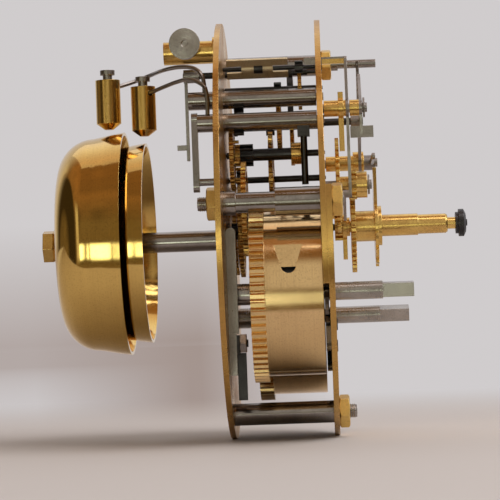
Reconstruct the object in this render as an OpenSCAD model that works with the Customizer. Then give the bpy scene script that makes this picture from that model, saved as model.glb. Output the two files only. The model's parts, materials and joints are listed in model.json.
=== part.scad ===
// Spring-driven two-train clock movement with rack striking on two nested bells.
// Millimetres. The origin is the centre arbor's axis on the front face of the upper front plate.
// +X points to the dial side, +Z is up, and the strike train lies on the -Y side.

/* [Plates] */
// Radius of the round plates
plate_r = 57.5; // [56:0.5:65]
// Thickness of each plate
plate_t = 1.5; // [1.2:0.1:2]
// Distance between the insides of the back and upper front plates
plate_gap = 25.4; // [25.4:0.1:27]
// Lower edge of the upper front plate
upper_edge_z = -16.6; // [-17.5:0.1:-15]
// Upper edge of the barrel plate
lower_edge_z = 8.6; // [7:0.1:9.5]

/* [Pillars] */
// Radius of the plain pillars
pillar_r = 3; // [2.6:0.1:3.2]
// Radius of the stepped middle pillar's thick end
pillar_big_r = 3.7; // [3.3:0.1:3.8]
// Radius of the pillar studs
stud_r = 1.75; // [1.5:0.05:2]
// Width across the flats of the pillar nuts
nut_af = 8; // [7:0.1:8.5]
// Thickness of the pillar nuts
nut_t = 2.8; // [2.2:0.1:3.2]

/* [Barrels] */
// Radius of the barrel drums
drum_r = 22; // [20:0.1:22.4]
// Wall of the barrel drums
drum_wall = 1; // [0.8:0.1:1.4]
// Teeth on a barrel
barrel_teeth = 64; // [64]
// Module of the barrel teeth
barrel_m = 0.72; // [0.70:0.005:0.725]
// Radius of the winding arbors where they pass the plate
winding_r = 2.4; // [2.2:0.05:2.6]
// Side of the winding squares
square_side = 3.7; // [3.4:0.05:4]
// How far the winding squares reach
square_tip_x = 22.5; // [21:0.1:26]

/* [Trains] */
// Radius of the wheel arbors
arbor_r = 0.9; // [0.8:0.05:1]
// Radius of the pivots that turn in the plates
pivot_r = 0.5; // [0.4:0.05:0.6]
// Radial clearance of a pivot or stud in its hole
run_gap = 0.06; // [0.03:0.01:0.09]
// End shake of the arbors between the plates
end_shake = 0.15; // [0.1:0.01:0.25]
// Extra distance between the centres of each gear pair
mesh_gap = 0.05; // [0.03:0.01:0.09]
// Thickness of the train wheels
wheel_t = 1.2; // [1:0.05:1.3]

/* [Hand shaft] */
// Radius of the hour pipe
pipe_r = 3; // [2.8:0.05:3.3]
// Radius of the hour pipe's slimmer end
pipe_end_r = 2.7; // [2.5:0.05:2.75]
// Front end of the hour pipe
pipe_end_x = 33.3; // [31:0.1:35]
// Largest radius of the hour snail
snail_high_r = 16.4; // [15.5:0.1:16.6]
// Smallest radius of the hour snail
snail_low_r = 5.8; // [5.8:0.1:9]

/* [Bells] */
// Radius of the outer bell
outer_bell_r = 31; // [29:0.1:31.5]
// Radius of the inner bell
inner_bell_r = 27.8; // [26:0.1:28]
// Height of each bell from rim to crown
bell_h = 18.5; // [17:0.1:19]
// Wall of the bells
bell_wall = 0.9; // [0.7:0.05:1.1]
// Radius of the bell post
bell_post_r = 2.85; // [2.4:0.05:2.95]

/* [Hammers] */
// Radius of the hammer arbors
hammer_arbor_r = 2.45; // [2.2:0.05:2.5]
// Radius of the hammer heads
head_r = 3.45; // [3.2:0.05:3.6]
// Length of the straight part of a hammer head
head_h = 12.2; // [11:0.1:13]
// Radius of the hammer wires
wire_r = 0.58; // [0.5:0.02:0.65]

/* [Levers] */
// Thickness of the front levers
lever_t = 0.8; // [0.7:0.05:0.9]
// Radius of the studs that the levers turn on
lever_stud_r = 1.3; // [1.1:0.05:1.5]

/* [Hidden] */
$fn = 64;

brass = [0.80, 0.62, 0.30];
pale_brass = [0.86, 0.74, 0.46];
steel = [0.62, 0.62, 0.64];
dark_steel = [0.16, 0.16, 0.18];

// Plate faces along X
front_in_x = -plate_t;
back_in_x = front_in_x - plate_gap;
back_out_x = back_in_x - plate_t;
shoulder_front_x = front_in_x - end_shake;
shoulder_back_x = back_in_x + end_shake;
pivot_proud = 0.2;

// Tooth counts, as [wheel, pinion] of each mesh
second_time_pinion = 9;
second_time_teeth = 54;
centre_pinion = 9;
centre_teeth = 50;
third_pinion = 14;
third_teeth = 52;
escape_pinion = 8;
escape_teeth = 30;
second_strike_pinion = 8;
second_strike_teeth = 44;
pin_pinion = 10;
pin_teeth = 36;
gathering_pinion = 8;
gathering_teeth = 33;
warning_pinion = 7;
warning_teeth = 28;
fly_pinion = 8;
cannon_teeth = 10;
minute_teeth = 36;
minute_pinion = 12;
hour_teeth = 40;

// Modules of the train gears
time_m = 0.45;
train_m = 0.5;
strike_m = 0.565;
fly_m = 0.4;
hour_m = 0.61;

function polar(c, r, a) = [c.x + r * cos(a), c.y + r * sin(a)];
function dir_angle(a, b) = atan2(b.y - a.y, b.x - a.x);
function pair_distance(m, n1, n2) = m * (n1 + n2) / 2 + mesh_gap;
// The point at ra from a and rb from b, on the left side of the line from a to b
function meeting_point(a, ra, b, rb) =
    let (d = norm(b - a), k = (ra * ra - rb * rb + d * d) / (2 * d), h = sqrt(ra * ra - k * k), u = (b - a) / d)
    [a.x + k * u.x - h * u.y, a.y + k * u.y + h * u.x];
// Turn of a gear of n2 teeth at p2 that meshes with a gear of n1 teeth at p1 turned by t1
function mesh_turn(p1, n1, t1, p2, n2) =
    let (a = dir_angle(p1, p2)) a + 180 + (a - t1) * n1 / n2 + 180 / n2;

// Arbor places as [Y, Z]
centre = [0, 0];
barrel_time_at = [23, -24.2];
barrel_strike_at = [-24.6, -18.2];
second_time_at = meeting_point(centre, pair_distance(time_m, second_time_teeth, centre_pinion),
    barrel_time_at, pair_distance(barrel_m, barrel_teeth, second_time_pinion));
third_at = polar(centre, pair_distance(train_m, centre_teeth, third_pinion), 64.1);
escape_at = polar(third_at, pair_distance(train_m, third_teeth, escape_pinion), 80.5);
pallet_at = [0, 43.6];
second_strike_at = polar(barrel_strike_at, pair_distance(barrel_m, barrel_teeth, second_strike_pinion), 64.7);
pin_at = polar(second_strike_at, pair_distance(strike_m, second_strike_teeth, pin_pinion), 77.2);
gathering_at = polar(pin_at, pair_distance(train_m, pin_teeth, gathering_pinion), 52.8);
warning_at = polar(gathering_at, pair_distance(train_m, gathering_teeth, warning_pinion), 112);
fly_at = polar(warning_at, pair_distance(fly_m, warning_teeth, fly_pinion), 132);
minute_at = polar(centre, pair_distance(hour_m, hour_teeth, minute_pinion), 136.8);
cannon_m = 2 * (norm(minute_at) - mesh_gap) / (cannon_teeth + minute_teeth);
hammer_a_at = [-16, 35];
hammer_b_at = [-20, 28.5];
bell_at = [0, -2.4];
post_at = [0, 50.2];
hook_at = [-21, 31.1];
rack_at = [32, 19.9];

// Pillar places as [Y, Z]
middle_pillar_at = [-40.5, 5.5];
plain_pillars_at = [[47.5, 9], [17, 47.2], [-15, -50.5]];
bottom_pillar_at = plain_pillars_at[2];

// Turns that put the gears in mesh at rest
barrel_time_turn = 0;
second_time_turn = mesh_turn(barrel_time_at, barrel_teeth, barrel_time_turn, second_time_at, second_time_pinion);
centre_turn = mesh_turn(second_time_at, second_time_teeth, second_time_turn, centre, centre_pinion);
third_turn = mesh_turn(centre, centre_teeth, centre_turn, third_at, third_pinion);
escape_turn = mesh_turn(third_at, third_teeth, third_turn, escape_at, escape_pinion);
barrel_strike_turn = 0;
second_strike_turn = mesh_turn(barrel_strike_at, barrel_teeth, barrel_strike_turn,
    second_strike_at, second_strike_pinion);
pin_turn = mesh_turn(second_strike_at, second_strike_teeth, second_strike_turn, pin_at, pin_pinion);
gathering_turn = mesh_turn(pin_at, pin_teeth, pin_turn, gathering_at, gathering_pinion);
warning_turn = mesh_turn(gathering_at, gathering_teeth, gathering_turn, warning_at, warning_pinion);
fly_turn = mesh_turn(warning_at, warning_teeth, warning_turn, fly_at, fly_pinion);
cannon_turn = 0;
minute_turn = mesh_turn(centre, cannon_teeth, cannon_turn, minute_at, minute_teeth);
hour_turn = mesh_turn(minute_at, minute_pinion, minute_turn, centre, hour_teeth);

// Layers along X, each the back face of what lies there
gear_back_x = -20.6;
gear_t = 3.9;
drum_front_x = -1.6;
second_time_x = -26.4;
pin_wheel_x = -25.8;
centre_wheel_x = -24.3;
second_strike_x = -22.8;
third_x = -15.6;
gathering_x = -12.8;
escape_x = -9.4;
warning_x = -6.6;
minute_x = 2.9;
cam_x = 4.25;
lifting_x = 6.2;
hour_x = 6.6;
rack_x = 9.8;
snail_x = 13.2;
ratchet_x = -1.35;
ratchet_t = 1.1;
ratchet_r = 6.6;
ratchet_teeth = 20;
barrel_bearing_r = 2;
winding_shoulder_x = 14.2;

// Carries a shape drawn with Y and Z as its x and y, and rising along X, to an arbor
module at_arbor(p, x = 0) {
    translate([x, 0, 0]) rotate([90, 0, 90]) translate([p.x, p.y, 0]) children();
}

module rod(p, x0, x1, r) {
    at_arbor(p, x0) cylinder(h = x1 - x0, r = r);
}

module tube(p, x0, x1, r, bore) {
    at_arbor(p, x0) difference() {
        cylinder(h = x1 - x0, r = r);
        translate([0, 0, -1]) cylinder(h = x1 - x0 + 2, r = bore);
    }
}

// Toothed outline: tip and root are in modules, and the widths are shares of the pitch
module teeth_2d(n, m, tip, root, root_w, pitch_w, tip_w) {
    pitch_r = n * m / 2;
    step = 360 / n;
    rings = [[pitch_r - root * m, -root_w], [pitch_r, -pitch_w], [pitch_r + tip * m, -tip_w],
        [pitch_r + tip * m, tip_w], [pitch_r, pitch_w], [pitch_r - root * m, root_w]];
    polygon([for (i = [0:n - 1], p = rings) polar([0, 0], p[0], (i + p[1] / 2) * step)]);
}

module wheel_teeth_2d(n, m) {
    teeth_2d(n, m, tip = 0.85, root = 0.95, root_w = 0.52, pitch_w = 0.44, tip_w = 0.14);
}

module pinion_2d(n, m) {
    teeth_2d(n, m, tip = 0.55, root = 1.2, root_w = 0.26, pitch_w = 0.36, tip_w = 0.16);
}

// A wheel crossed out to arms, with its hub
module crossed_wheel(n, m, t, arms, hub_r, bore = 0) {
    rim_r = n * m / 2 - 2.6 * m - 0.5;
    linear_extrude(t) difference() {
        union() {
            difference() {
                wheel_teeth_2d(n, m);
                circle(rim_r);
            }
            circle(hub_r);
            for (i = [0:arms - 1]) rotate(i * 360 / arms) translate([0, -0.65]) square([rim_r + 0.4, 1.3]);
        }
        if (bore > 0) circle(bore);
    }
}

// Arbor with its two pivots, from plate to plate
module arbor(p, r = arbor_r, front = pivot_proud) {
    rod(p, shoulder_back_x, shoulder_front_x, r);
    rod(p, back_out_x + 0.1, front, pivot_r);
}

module bar_2d(a, b, w) {
    d = norm(b - a);
    translate(a) rotate(dir_angle(a, b)) translate([0, -w / 2]) square([d, w]);
}

// A chain of straight bars through the points, with a rounded corner at each
module lever_2d(points, w) {
    for (i = [0:len(points) - 2]) bar_2d(points[i], points[i + 1], w);
    for (p = points) translate(p) circle(w * 0.54);
}

// A point on the smooth curve through the points a, b, c and d, at share t of the way from b to c
function curve_point(a, b, c, d, t) =
    b + (c - a) * t / 2 + (2 * a - 5 * b + 4 * c - d) * t * t / 2 + (3 * b - a - 3 * c + d) * t * t * t / 2;
function smooth(p, steps) = let (n = len(p)) concat(
    [for (i = [0:n - 2], k = [0:steps - 1])
        curve_point(p[max(i - 1, 0)], p[i], p[i + 1], p[min(i + 2, n - 1)], k / steps)],
    [p[n - 1]]);
function unit(v) = v / norm(v);
// A ring of points round a path's point, square to the path there
function ring(p, i, r, sides) =
    let (t = unit(p[min(i + 1, len(p) - 1)] - p[max(i - 1, 0)]), u = unit(cross(t, [0, 1, 0])), v = cross(t, u))
    [for (k = [0:sides - 1]) p[i] + r * (cos(k * 360 / sides) * u + sin(k * 360 / sides) * v)];

// A bent wire through the points
module wire(points, r, steps = 4) {
    sides = 8;
    path = smooth(points, steps);
    last = len(path) - 1;
    polyhedron(
        points = [for (i = [0:last]) each ring(path, i, r, sides)],
        faces = concat(
            [[for (k = [0:sides - 1]) k]],
            [for (i = [0:last - 1], k = [0:sides - 1])
                [i * sides + k, (i + 1) * sides + k, (i + 1) * sides + (k + 1) % sides]],
            [for (i = [0:last - 1], k = [0:sides - 1])
                [i * sides + k, (i + 1) * sides + (k + 1) % sides, i * sides + (k + 1) % sides]],
            [[for (k = [sides - 1:-1:0]) last * sides + k]]));
}

// A straight drilled hole between two points
module drill(a, b, r) {
    d = b - a;
    translate(a - 0.8 * unit(d)) rotate([0, acos(d.z / norm(d)), atan2(d.y, d.x)]) cylinder(h = norm(d) + 1, r = r);
}

module pivot_hole_2d(p, r = pivot_r) {
    translate(p) circle(r + run_gap);
}

train_arbors = [centre, second_time_at, third_at, escape_at, second_strike_at, pin_at, gathering_at,
    warning_at, fly_at];
upper_arbors = [second_time_at, third_at, escape_at, second_strike_at, pin_at, warning_at, fly_at];
pallet_arbor_r = 0.9;
barrel_rear_r = 1.5;
gathering_front_r = 1;
centre_front_r = 1.1;
hammer_pivot_r = 1.1;
tab_slot = [5.6, 3.4];
tab_at = [-18, 44.5];
bell_stud_r = 1.6;
post_stud_r = 2;
fixing_r = 52.5;
fixing_hole_r = 1.6;
fixing_angles = [30, 150, 270];
pallet_cock_hole_r = 2.4;

module back_plate() {
    color(brass) at_arbor(centre, back_out_x) linear_extrude(plate_t) difference() {
        circle(plate_r, $fn = 128);
        for (p = train_arbors) pivot_hole_2d(p);
        for (p = [barrel_time_at, barrel_strike_at]) pivot_hole_2d(p, barrel_rear_r);
        pivot_hole_2d(pallet_at, pallet_arbor_r);
        for (p = [hammer_a_at, hammer_b_at]) pivot_hole_2d(p, hammer_arbor_r);
        for (p = concat([middle_pillar_at], plain_pillars_at)) translate(p) circle(stud_r + 0.05);
        translate(bell_at) circle(bell_stud_r);
        translate(strap_at) circle(strap_stud_r + 0.05);
        translate(post_at) circle(post_stud_r);
        for (a = fixing_angles) translate(polar(centre, fixing_r, a)) circle(fixing_hole_r);
    }
}

module front_plate() {
    cut = 2 * plate_r;
    color(brass) at_arbor(centre, front_in_x) linear_extrude(plate_t) difference() {
        circle(plate_r, $fn = 128);
        translate([-cut, -cut * 2 + upper_edge_z]) square([2 * cut, 2 * cut]);
        for (p = upper_arbors) pivot_hole_2d(p);
        pivot_hole_2d(centre, centre_front_r);
        pivot_hole_2d(gathering_at, gathering_front_r);
        pivot_hole_2d(pallet_at);
        for (p = [barrel_time_at, barrel_strike_at]) translate(p) circle(ratchet_r + 1.6);
        for (p = [hammer_a_at, hammer_b_at]) pivot_hole_2d(p, hammer_pivot_r);
        for (p = [middle_pillar_at, plain_pillars_at[0], plain_pillars_at[1]]) translate(p) circle(stud_r + 0.05);
        for (p = [minute_at, hook_at, rack_at]) translate(p) circle(lever_stud_r);
        translate(tab_at + [0.9, -0.2]) square(tab_slot, center = true);
    }
}

module barrel_plate() {
    cut = 2 * plate_r;
    color(brass) at_arbor(centre, 0) linear_extrude(plate_t) difference() {
        circle(plate_r, $fn = 128);
        translate([-cut, lower_edge_z]) square([2 * cut, 2 * cut]);
        pivot_hole_2d(centre, centre_front_r + 0.6);
        for (p = [barrel_time_at, barrel_strike_at]) pivot_hole_2d(p, winding_r);
        for (p = [middle_pillar_at, bottom_pillar_at]) translate(p) circle(stud_r + 0.05);
        translate(minute_at) circle(4.4);
        for (p = click_pivots) translate(p) circle(click_screw_r);
        translate(plain_pillars_at[0]) circle(nut_af * 0.62);
    }
}

rivet_t = 0.4;
dial_rod_x = 15.5;
dial_rod_r = 1.2;

// A pin's end riveted over behind the back plate
module rivet(p, r) {
    rod(p, back_out_x - 0.1, back_in_x + 0.1, r);
    at_arbor(p, back_out_x - rivet_t) cylinder(h = rivet_t, r1 = r + 0.2, r2 = r + 0.6);
}

module pillar_middle() {
    collar_x = back_in_x + 3.3;
    step_x = back_in_x + 13.6;
    color(steel) {
        rod(middle_pillar_at, back_in_x, collar_x, pillar_big_r - 0.45);
        rod(middle_pillar_at, collar_x, step_x, pillar_big_r - 1);
        rod(middle_pillar_at, step_x, front_in_x, pillar_big_r);
        rod(middle_pillar_at, back_out_x - nut_t - 2.4, back_in_x + 0.1, stud_r);
        rod(middle_pillar_at, front_in_x - 0.1, plate_t + nut_t + 0.3, stud_r);
    }
}

module pillars() {
    color(steel) for (p = plain_pillars_at) {
        reach = p == bottom_pillar_at ? 0 : front_in_x;
        rivet(p, stud_r);
        rod(p, back_in_x, reach, pillar_r);
        rod(p, reach - 0.1, reach + plate_t + nut_t + 1.9, stud_r);
        if (p == plain_pillars_at[1]) rod(p, reach, dial_rod_x, dial_rod_r);
    }
}

module nut(p, x, t = nut_t) {
    at_arbor(p, x) difference() {
        rotate(14) cylinder(h = t, r = nut_af / sqrt(3), $fn = 6);
        translate([0, 0, -1]) cylinder(h = t + 2, r = stud_r + 0.02);
    }
}

module pillar_nuts() {
    color(steel) {
        nut(middle_pillar_at, back_out_x - nut_t);
        nut(middle_pillar_at, plate_t);
        nut(bottom_pillar_at, plate_t);
        nut(plain_pillars_at[0], 0);
        nut(plain_pillars_at[1], 0);
        strap_nut();
    }
}

cavity_back_x = gear_back_x + 2.7;
cap_x = -2.9;
cap_t = 1.1;
hook_hole_r = 1.95;
hook_x = -10.4;
scoop_reach = 6.1;
scoop_half_w = 3.75;
scoop_cut = drum_wall - 0.12;

// Barrel: gear ring, drum wall and the pressed-in hook that holds the spring's outer end
module barrel(p, turn, hook_angle) {
    color(brass) at_arbor(p, gear_back_x) rotate(turn) difference() {
        union() {
            linear_extrude(gear_t) wheel_teeth_2d(barrel_teeth, barrel_m);
            cylinder(h = drum_front_x - gear_back_x, r = drum_r, $fn = 128);
        }
        translate([0, 0, cavity_back_x - gear_back_x]) cylinder(h = 30, r = drum_r - drum_wall, $fn = 128);
        translate([0, 0, -1]) cylinder(h = 10, r = barrel_bearing_r + run_gap);
        rotate(hook_angle - turn) translate([0, 0, hook_x - gear_back_x]) rotate([90, 0, 90]) {
            translate([0, 0, drum_r - 4]) linear_extrude(6) intersection() {
                circle(hook_hole_r);
                translate([0, -hook_hole_r]) square(2 * hook_hole_r);
            }
            translate([0, 0, drum_r - scoop_cut]) linear_extrude(4) polygon([[-scoop_reach, -scoop_half_w],
                [0.1, -hook_hole_r], [0.1, hook_hole_r], [-scoop_reach, scoop_half_w]]);
        }
    }
}

module barrel_cap(p) {
    color(pale_brass) at_arbor(p, cap_x) difference() {
        cylinder(h = cap_t, r = drum_r - drum_wall - 0.02, $fn = 128);
        translate([0, 0, -1]) cylinder(h = cap_t + 2, r = barrel_bearing_r + run_gap);
    }
}

core_r = 4.4;

// Spiral strip between the arbor's core and the drum's wall
module mainspring(p) {
    turns = 6;
    steps = 16;
    strip = 0.5;
    pitch = (drum_r - drum_wall - core_r - strip - 0.7) / turns;
    last = turns * steps;
    color(dark_steel) at_arbor(p, cavity_back_x + 1) linear_extrude(cap_x - cavity_back_x - 2) polygon(concat(
        [for (i = [0:last]) polar([0, 0], core_r + 0.35 + pitch * i / steps, i * 360 / steps)],
        [for (i = [last:-1:0]) polar([0, 0], core_r + 0.35 + strip + pitch * i / steps, i * 360 / steps)]));
}

module barrel_arbor(p, turn) {
    color(steel) {
        rod(p, back_out_x + 0.1, shoulder_back_x, barrel_rear_r);
        rod(p, shoulder_back_x, gear_back_x - 0.25, 2.9);
        rod(p, gear_back_x - 0.3, cavity_back_x + 0.2, barrel_bearing_r);
        rod(p, cavity_back_x + 0.15, cap_x - 0.15, core_r);
        rod(p, cap_x - 0.2, -0.15, barrel_bearing_r);
        rod(p, -0.2, winding_shoulder_x, winding_r);
        at_arbor(p, winding_shoulder_x - 0.1) rotate(turn) translate([-square_side / 2, -square_side / 2, 0])
            cube([square_side, square_side, square_tip_x - winding_shoulder_x + 0.1]);
    }
}

// Ratchet teeth: radial face on one side and a slope on the other
module ratchet(p) {
    step = 360 / ratchet_teeth;
    color(dark_steel) at_arbor(p, ratchet_x) difference() {
        linear_extrude(ratchet_t) polygon([for (i = [0:ratchet_teeth - 1], q = [[0, 0], [0.82, 1]])
            polar([0, 0], ratchet_r - 1 + q[1], (i + q[0]) * step)]);
        translate([0, 0, -1]) cylinder(h = ratchet_t + 2, r = barrel_bearing_r);
    }
}

click_screw_r = 0.9;
click_head_t = 0.35;
click_reach = 9.4;
click_angles = [-112, -68];
click_pivots = [polar(barrel_time_at, click_reach, click_angles[0]),
    polar(barrel_strike_at, click_reach, click_angles[1])];

// A click that lies beside its ratchet wheel, its nose just clear of the teeth
module click(i) {
    c = i == 0 ? barrel_time_at : barrel_strike_at;
    side = i == 0 ? 1 : -1;
    nose = polar(c, ratchet_r + 1.05, click_angles[i] + side * 34);
    color(dark_steel) at_arbor(centre, ratchet_x) linear_extrude(ratchet_t) difference() {
        union() {
            translate(click_pivots[i]) circle(1.9);
            bar_2d(click_pivots[i], nose, 1.5);
        }
        translate(click_pivots[i]) circle(click_screw_r + run_gap);
    }
}

module click_springs() {
    color(steel) for (i = [0, 1]) {
        c = i == 0 ? barrel_time_at : barrel_strike_at;
        side = i == 0 ? 1 : -1;
        foot = polar(c, click_reach + 6, click_angles[i] + side * 2);
        tip = polar(c, ratchet_r + 3.2, click_angles[i] + side * 42);
        at_arbor(centre, ratchet_x) linear_extrude(-ratchet_x) {
            translate(foot) circle(1.4);
            bar_2d(foot, polar(c, click_reach + 4, click_angles[i] + side * 30), 0.5);
            bar_2d(polar(c, click_reach + 4, click_angles[i] + side * 30), tip, 0.5);
            translate(polar(c, click_reach + 4, click_angles[i] + side * 30)) circle(0.4);
        }
    }
}

module click_screws() {
    color(steel) for (p = click_pivots) {
        rod(p, ratchet_x, plate_t, click_screw_r);
        rod(p, plate_t, plate_t + click_head_t, 1.7);
    }
}

module barrel_time() {
    barrel(barrel_time_at, barrel_time_turn, 90);
}

module barrel_strike() {
    barrel(barrel_strike_at, barrel_strike_turn, 162.3);
}

module barrel_cap_time() {
    barrel_cap(barrel_time_at);
}

module barrel_cap_strike() {
    barrel_cap(barrel_strike_at);
}

module mainspring_time() {
    mainspring(barrel_time_at);
}

module mainspring_strike() {
    mainspring(barrel_strike_at);
}

module barrel_arbor_time() {
    barrel_arbor(barrel_time_at, 20);
}

module barrel_arbor_strike() {
    barrel_arbor(barrel_strike_at, 8);
}

module ratchet_time() {
    ratchet(barrel_time_at);
}

module ratchet_strike() {
    ratchet(barrel_strike_at);
}

module click_time() {
    click(0);
}

module click_strike() {
    click(1);
}

// Time train

module second_wheel_time() {
    color(brass) at_arbor(second_time_at, second_time_x) rotate(second_time_turn)
        crossed_wheel(second_time_teeth, time_m, wheel_t, 4, 2.6);
    color(dark_steel) {
        rod(second_time_at, shoulder_back_x, -15.9, 0.8);
        rod(second_time_at, -16, shoulder_front_x, 0.8);
        rod(second_time_at, back_out_x + 0.1, -0.1, pivot_r);
        at_arbor(second_time_at, gear_back_x - 0.2) rotate(second_time_turn)
            linear_extrude(gear_t + 0.4) pinion_2d(second_time_pinion, barrel_m);
    }
}

cannon_bore = centre_front_r - 0.1;

module centre_wheel() {
    color(brass) at_arbor(centre, centre_wheel_x) rotate(centre_turn)
        crossed_wheel(centre_teeth, train_m, wheel_t, 5, 2.4);
    color(dark_steel) {
        rod(centre, shoulder_back_x, centre_wheel_x + 0.1, 1.1);
        rod(centre, centre_wheel_x, shoulder_front_x, centre_front_r + 0.2);
        rod(centre, back_out_x + 0.1, shoulder_back_x + 0.1, pivot_r);
        rod(centre, shoulder_front_x - 0.1, 1.7, centre_front_r);
        rod(centre, 1.6, pipe_end_x + 5.5, cannon_bore - run_gap);
        at_arbor(centre, second_time_x - 0.1) rotate(centre_turn)
            linear_extrude(wheel_t + 0.4) pinion_2d(centre_pinion, time_m);
    }
}

module third_wheel() {
    color(brass) at_arbor(third_at, third_x) rotate(third_turn) crossed_wheel(third_teeth, train_m, wheel_t, 4, 2.4);
    color(dark_steel) {
        arbor(third_at);
        at_arbor(third_at, centre_wheel_x - 0.5) rotate(third_turn)
            linear_extrude(wheel_t + 1) pinion_2d(third_pinion, train_m);
    }
}

escape_tip_r = 11;

// Escape wheel: pointed teeth that lean one way
module escape_wheel() {
    step = 360 / escape_teeth;
    color(brass) at_arbor(escape_at, escape_x) rotate(escape_turn) linear_extrude(wheel_t - 0.2) union() {
        difference() {
            polygon([for (i = [0:escape_teeth - 1], q = [[0, -1.7], [0.42, 0], [0.5, 0], [0.62, -1.7]])
                polar([0, 0], escape_tip_r + q[1], (i + q[0]) * step)]);
            circle(escape_tip_r - 3.2);
        }
        circle(2.2);
        for (i = [0:3]) rotate(i * 90) translate([0, -0.6]) square([escape_tip_r - 2.8, 1.2]);
    }
    color(dark_steel) {
        arbor(escape_at);
        at_arbor(escape_at, third_x - 0.6) rotate(escape_turn)
            linear_extrude(wheel_t + 1.2) pinion_2d(escape_pinion, train_m);
    }
}

crutch_x = -38.2;
pallet_end_x = crutch_x - 0.4;

// Anchor with its two pallets, on the pallet arbor that carries the crutch behind the back plate
module anchor() {
    line = dir_angle(escape_at, pallet_at);
    left = polar(escape_at, escape_tip_r + 1.3, line + 46);
    right = polar(escape_at, escape_tip_r + 1.3, line - 46);
    color(dark_steel) {
        at_arbor(centre, escape_x - 0.3) linear_extrude(1.6) union() {
            translate(pallet_at) circle(2.1);
            lever_2d([left, polar(pallet_at, 3.6, line + 120), pallet_at], 1.3);
            lever_2d([right, polar(pallet_at, 3.6, line - 120), pallet_at], 1.3);
        }
        rod(pallet_at, pallet_end_x, -4, pallet_arbor_r);
        rod(pallet_at, -4.1, pivot_proud, pivot_r);
    }
}

crutch_low_z = 20;

module crutch() {
    half = 1.2;
    color(steel) difference() {
        union() {
            rod(pallet_at, crutch_x - 0.2, crutch_x + 4.2, 1.9);
            translate([crutch_x, -half, crutch_low_z]) cube([0.8, 2 * half, pallet_at.y - crutch_low_z]);
            translate([crutch_x - 2.6, -0.7, crutch_low_z + 3]) cube([2.7, 1.4, 1.4]);
        }
        rod(pallet_at, crutch_x - 3, crutch_x + 6, pallet_arbor_r);
    }
}

// Motion work

cam_r = 9;
cannon_front_x = pipe_end_x + 2.2;
cannon_r = 1.62;

module cannon_pinion() {
    color(brass) difference() {
        union() {
            at_arbor(centre, 2.1) rotate(cannon_turn) linear_extrude(cam_x - 2.1 + 0.1) pinion_2d(cannon_teeth, cannon_m);
            at_arbor(centre, cam_x) linear_extrude(1.2) union() {
                circle(3.6);
                bar_2d(centre, [1.2, -cam_r + 1.1], 2.2);
                translate([1.2, -cam_r + 1.1]) circle(1.1 * 1.04);
            }
            rod(centre, cam_x, hour_x - 0.3, 2.6);
            rod(centre, hour_x - 0.4, cannon_front_x, cannon_r);
        }
        rod(centre, 0, cannon_front_x + 2, cannon_bore);
    }
}

module minute_wheel() {
    color(brass) {
        difference() {
            union() {
                at_arbor(minute_at, minute_x) rotate(minute_turn)
                    crossed_wheel(minute_teeth, cannon_m, 1, 4, 3.4, lever_stud_r + 0.2);
                at_arbor(minute_at, hour_x - 0.3) rotate(minute_turn)
                    linear_extrude(2.2) pinion_2d(minute_pinion, hour_m);
                rod(minute_at, minute_x + 0.9, hour_x - 0.2, 2.4);
                rod(minute_at, hour_x + 1.8, 11.3, 3.6);
            }
            rod(minute_at, 0, 15, lever_stud_r + run_gap);
        }
    }
}

hour_t = 1.3;

module hour_wheel() {
    color(brass) difference() {
        union() {
            at_arbor(centre, hour_x) rotate(hour_turn) crossed_wheel(hour_teeth, hour_m, hour_t, 5, 4.4);
            rod(centre, hour_x + 0.1, snail_x, 4.25);
            rod(centre, snail_x - 0.1, 25.1, pipe_r);
            rod(centre, 25, pipe_end_x - 0.5, pipe_end_r);
            at_arbor(centre, pipe_end_x - 0.5) cylinder(h = 0.5, r1 = pipe_end_r, r2 = pipe_end_r - 0.35);
        }
        rod(centre, 0, pipe_end_x + 2, cannon_r + run_gap);
    }
}

snail_t = 0.9;
snail_step = (snail_high_r - snail_low_r) / 11;

// Twelve steps, the highest over the first hour
module snail() {
    color(pale_brass) difference() {
        union() {
            at_arbor(centre, snail_x) linear_extrude(snail_t) polygon([for (i = [0:11], a = [0:6:30])
                polar([0, 0], snail_high_r - i * snail_step, 105 - i * 30 - a)]);
            rod(centre, snail_x, snail_x + snail_t + 1, 5.5);
        }
        rod(centre, 0, 30, pipe_r);
    }
}

module hand_nut() {
    color(dark_steel) difference() {
        union() {
            rod(centre, cannon_front_x + 0.05, cannon_front_x + 1, 3);
            at_arbor(centre, cannon_front_x + 0.9) cylinder(h = 1.4, r = 3.8);
            at_arbor(centre, cannon_front_x + 2.3) cylinder(h = 0.6, r1 = 3.8, r2 = 2.6);
        }
        rod(centre, 0, pipe_end_x + 9, cannon_bore);
    }
}

// Strike train

module second_wheel_strike() {
    color(brass) at_arbor(second_strike_at, second_strike_x) rotate(second_strike_turn)
        crossed_wheel(second_strike_teeth, strike_m, wheel_t + 0.2, 5, 2.6);
    color(dark_steel) {
        rod(second_strike_at, shoulder_back_x, shoulder_front_x, arbor_r);
        rod(second_strike_at, back_out_x + 0.1, -0.1, pivot_r);
        at_arbor(second_strike_at, gear_back_x - 0.2) rotate(second_strike_turn)
            linear_extrude(gear_t + 0.4) pinion_2d(second_strike_pinion, barrel_m);
    }
}

lift_pins = 8;
lift_pin_ring_r = 7.4;
lift_pin_r = 0.45;

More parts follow.
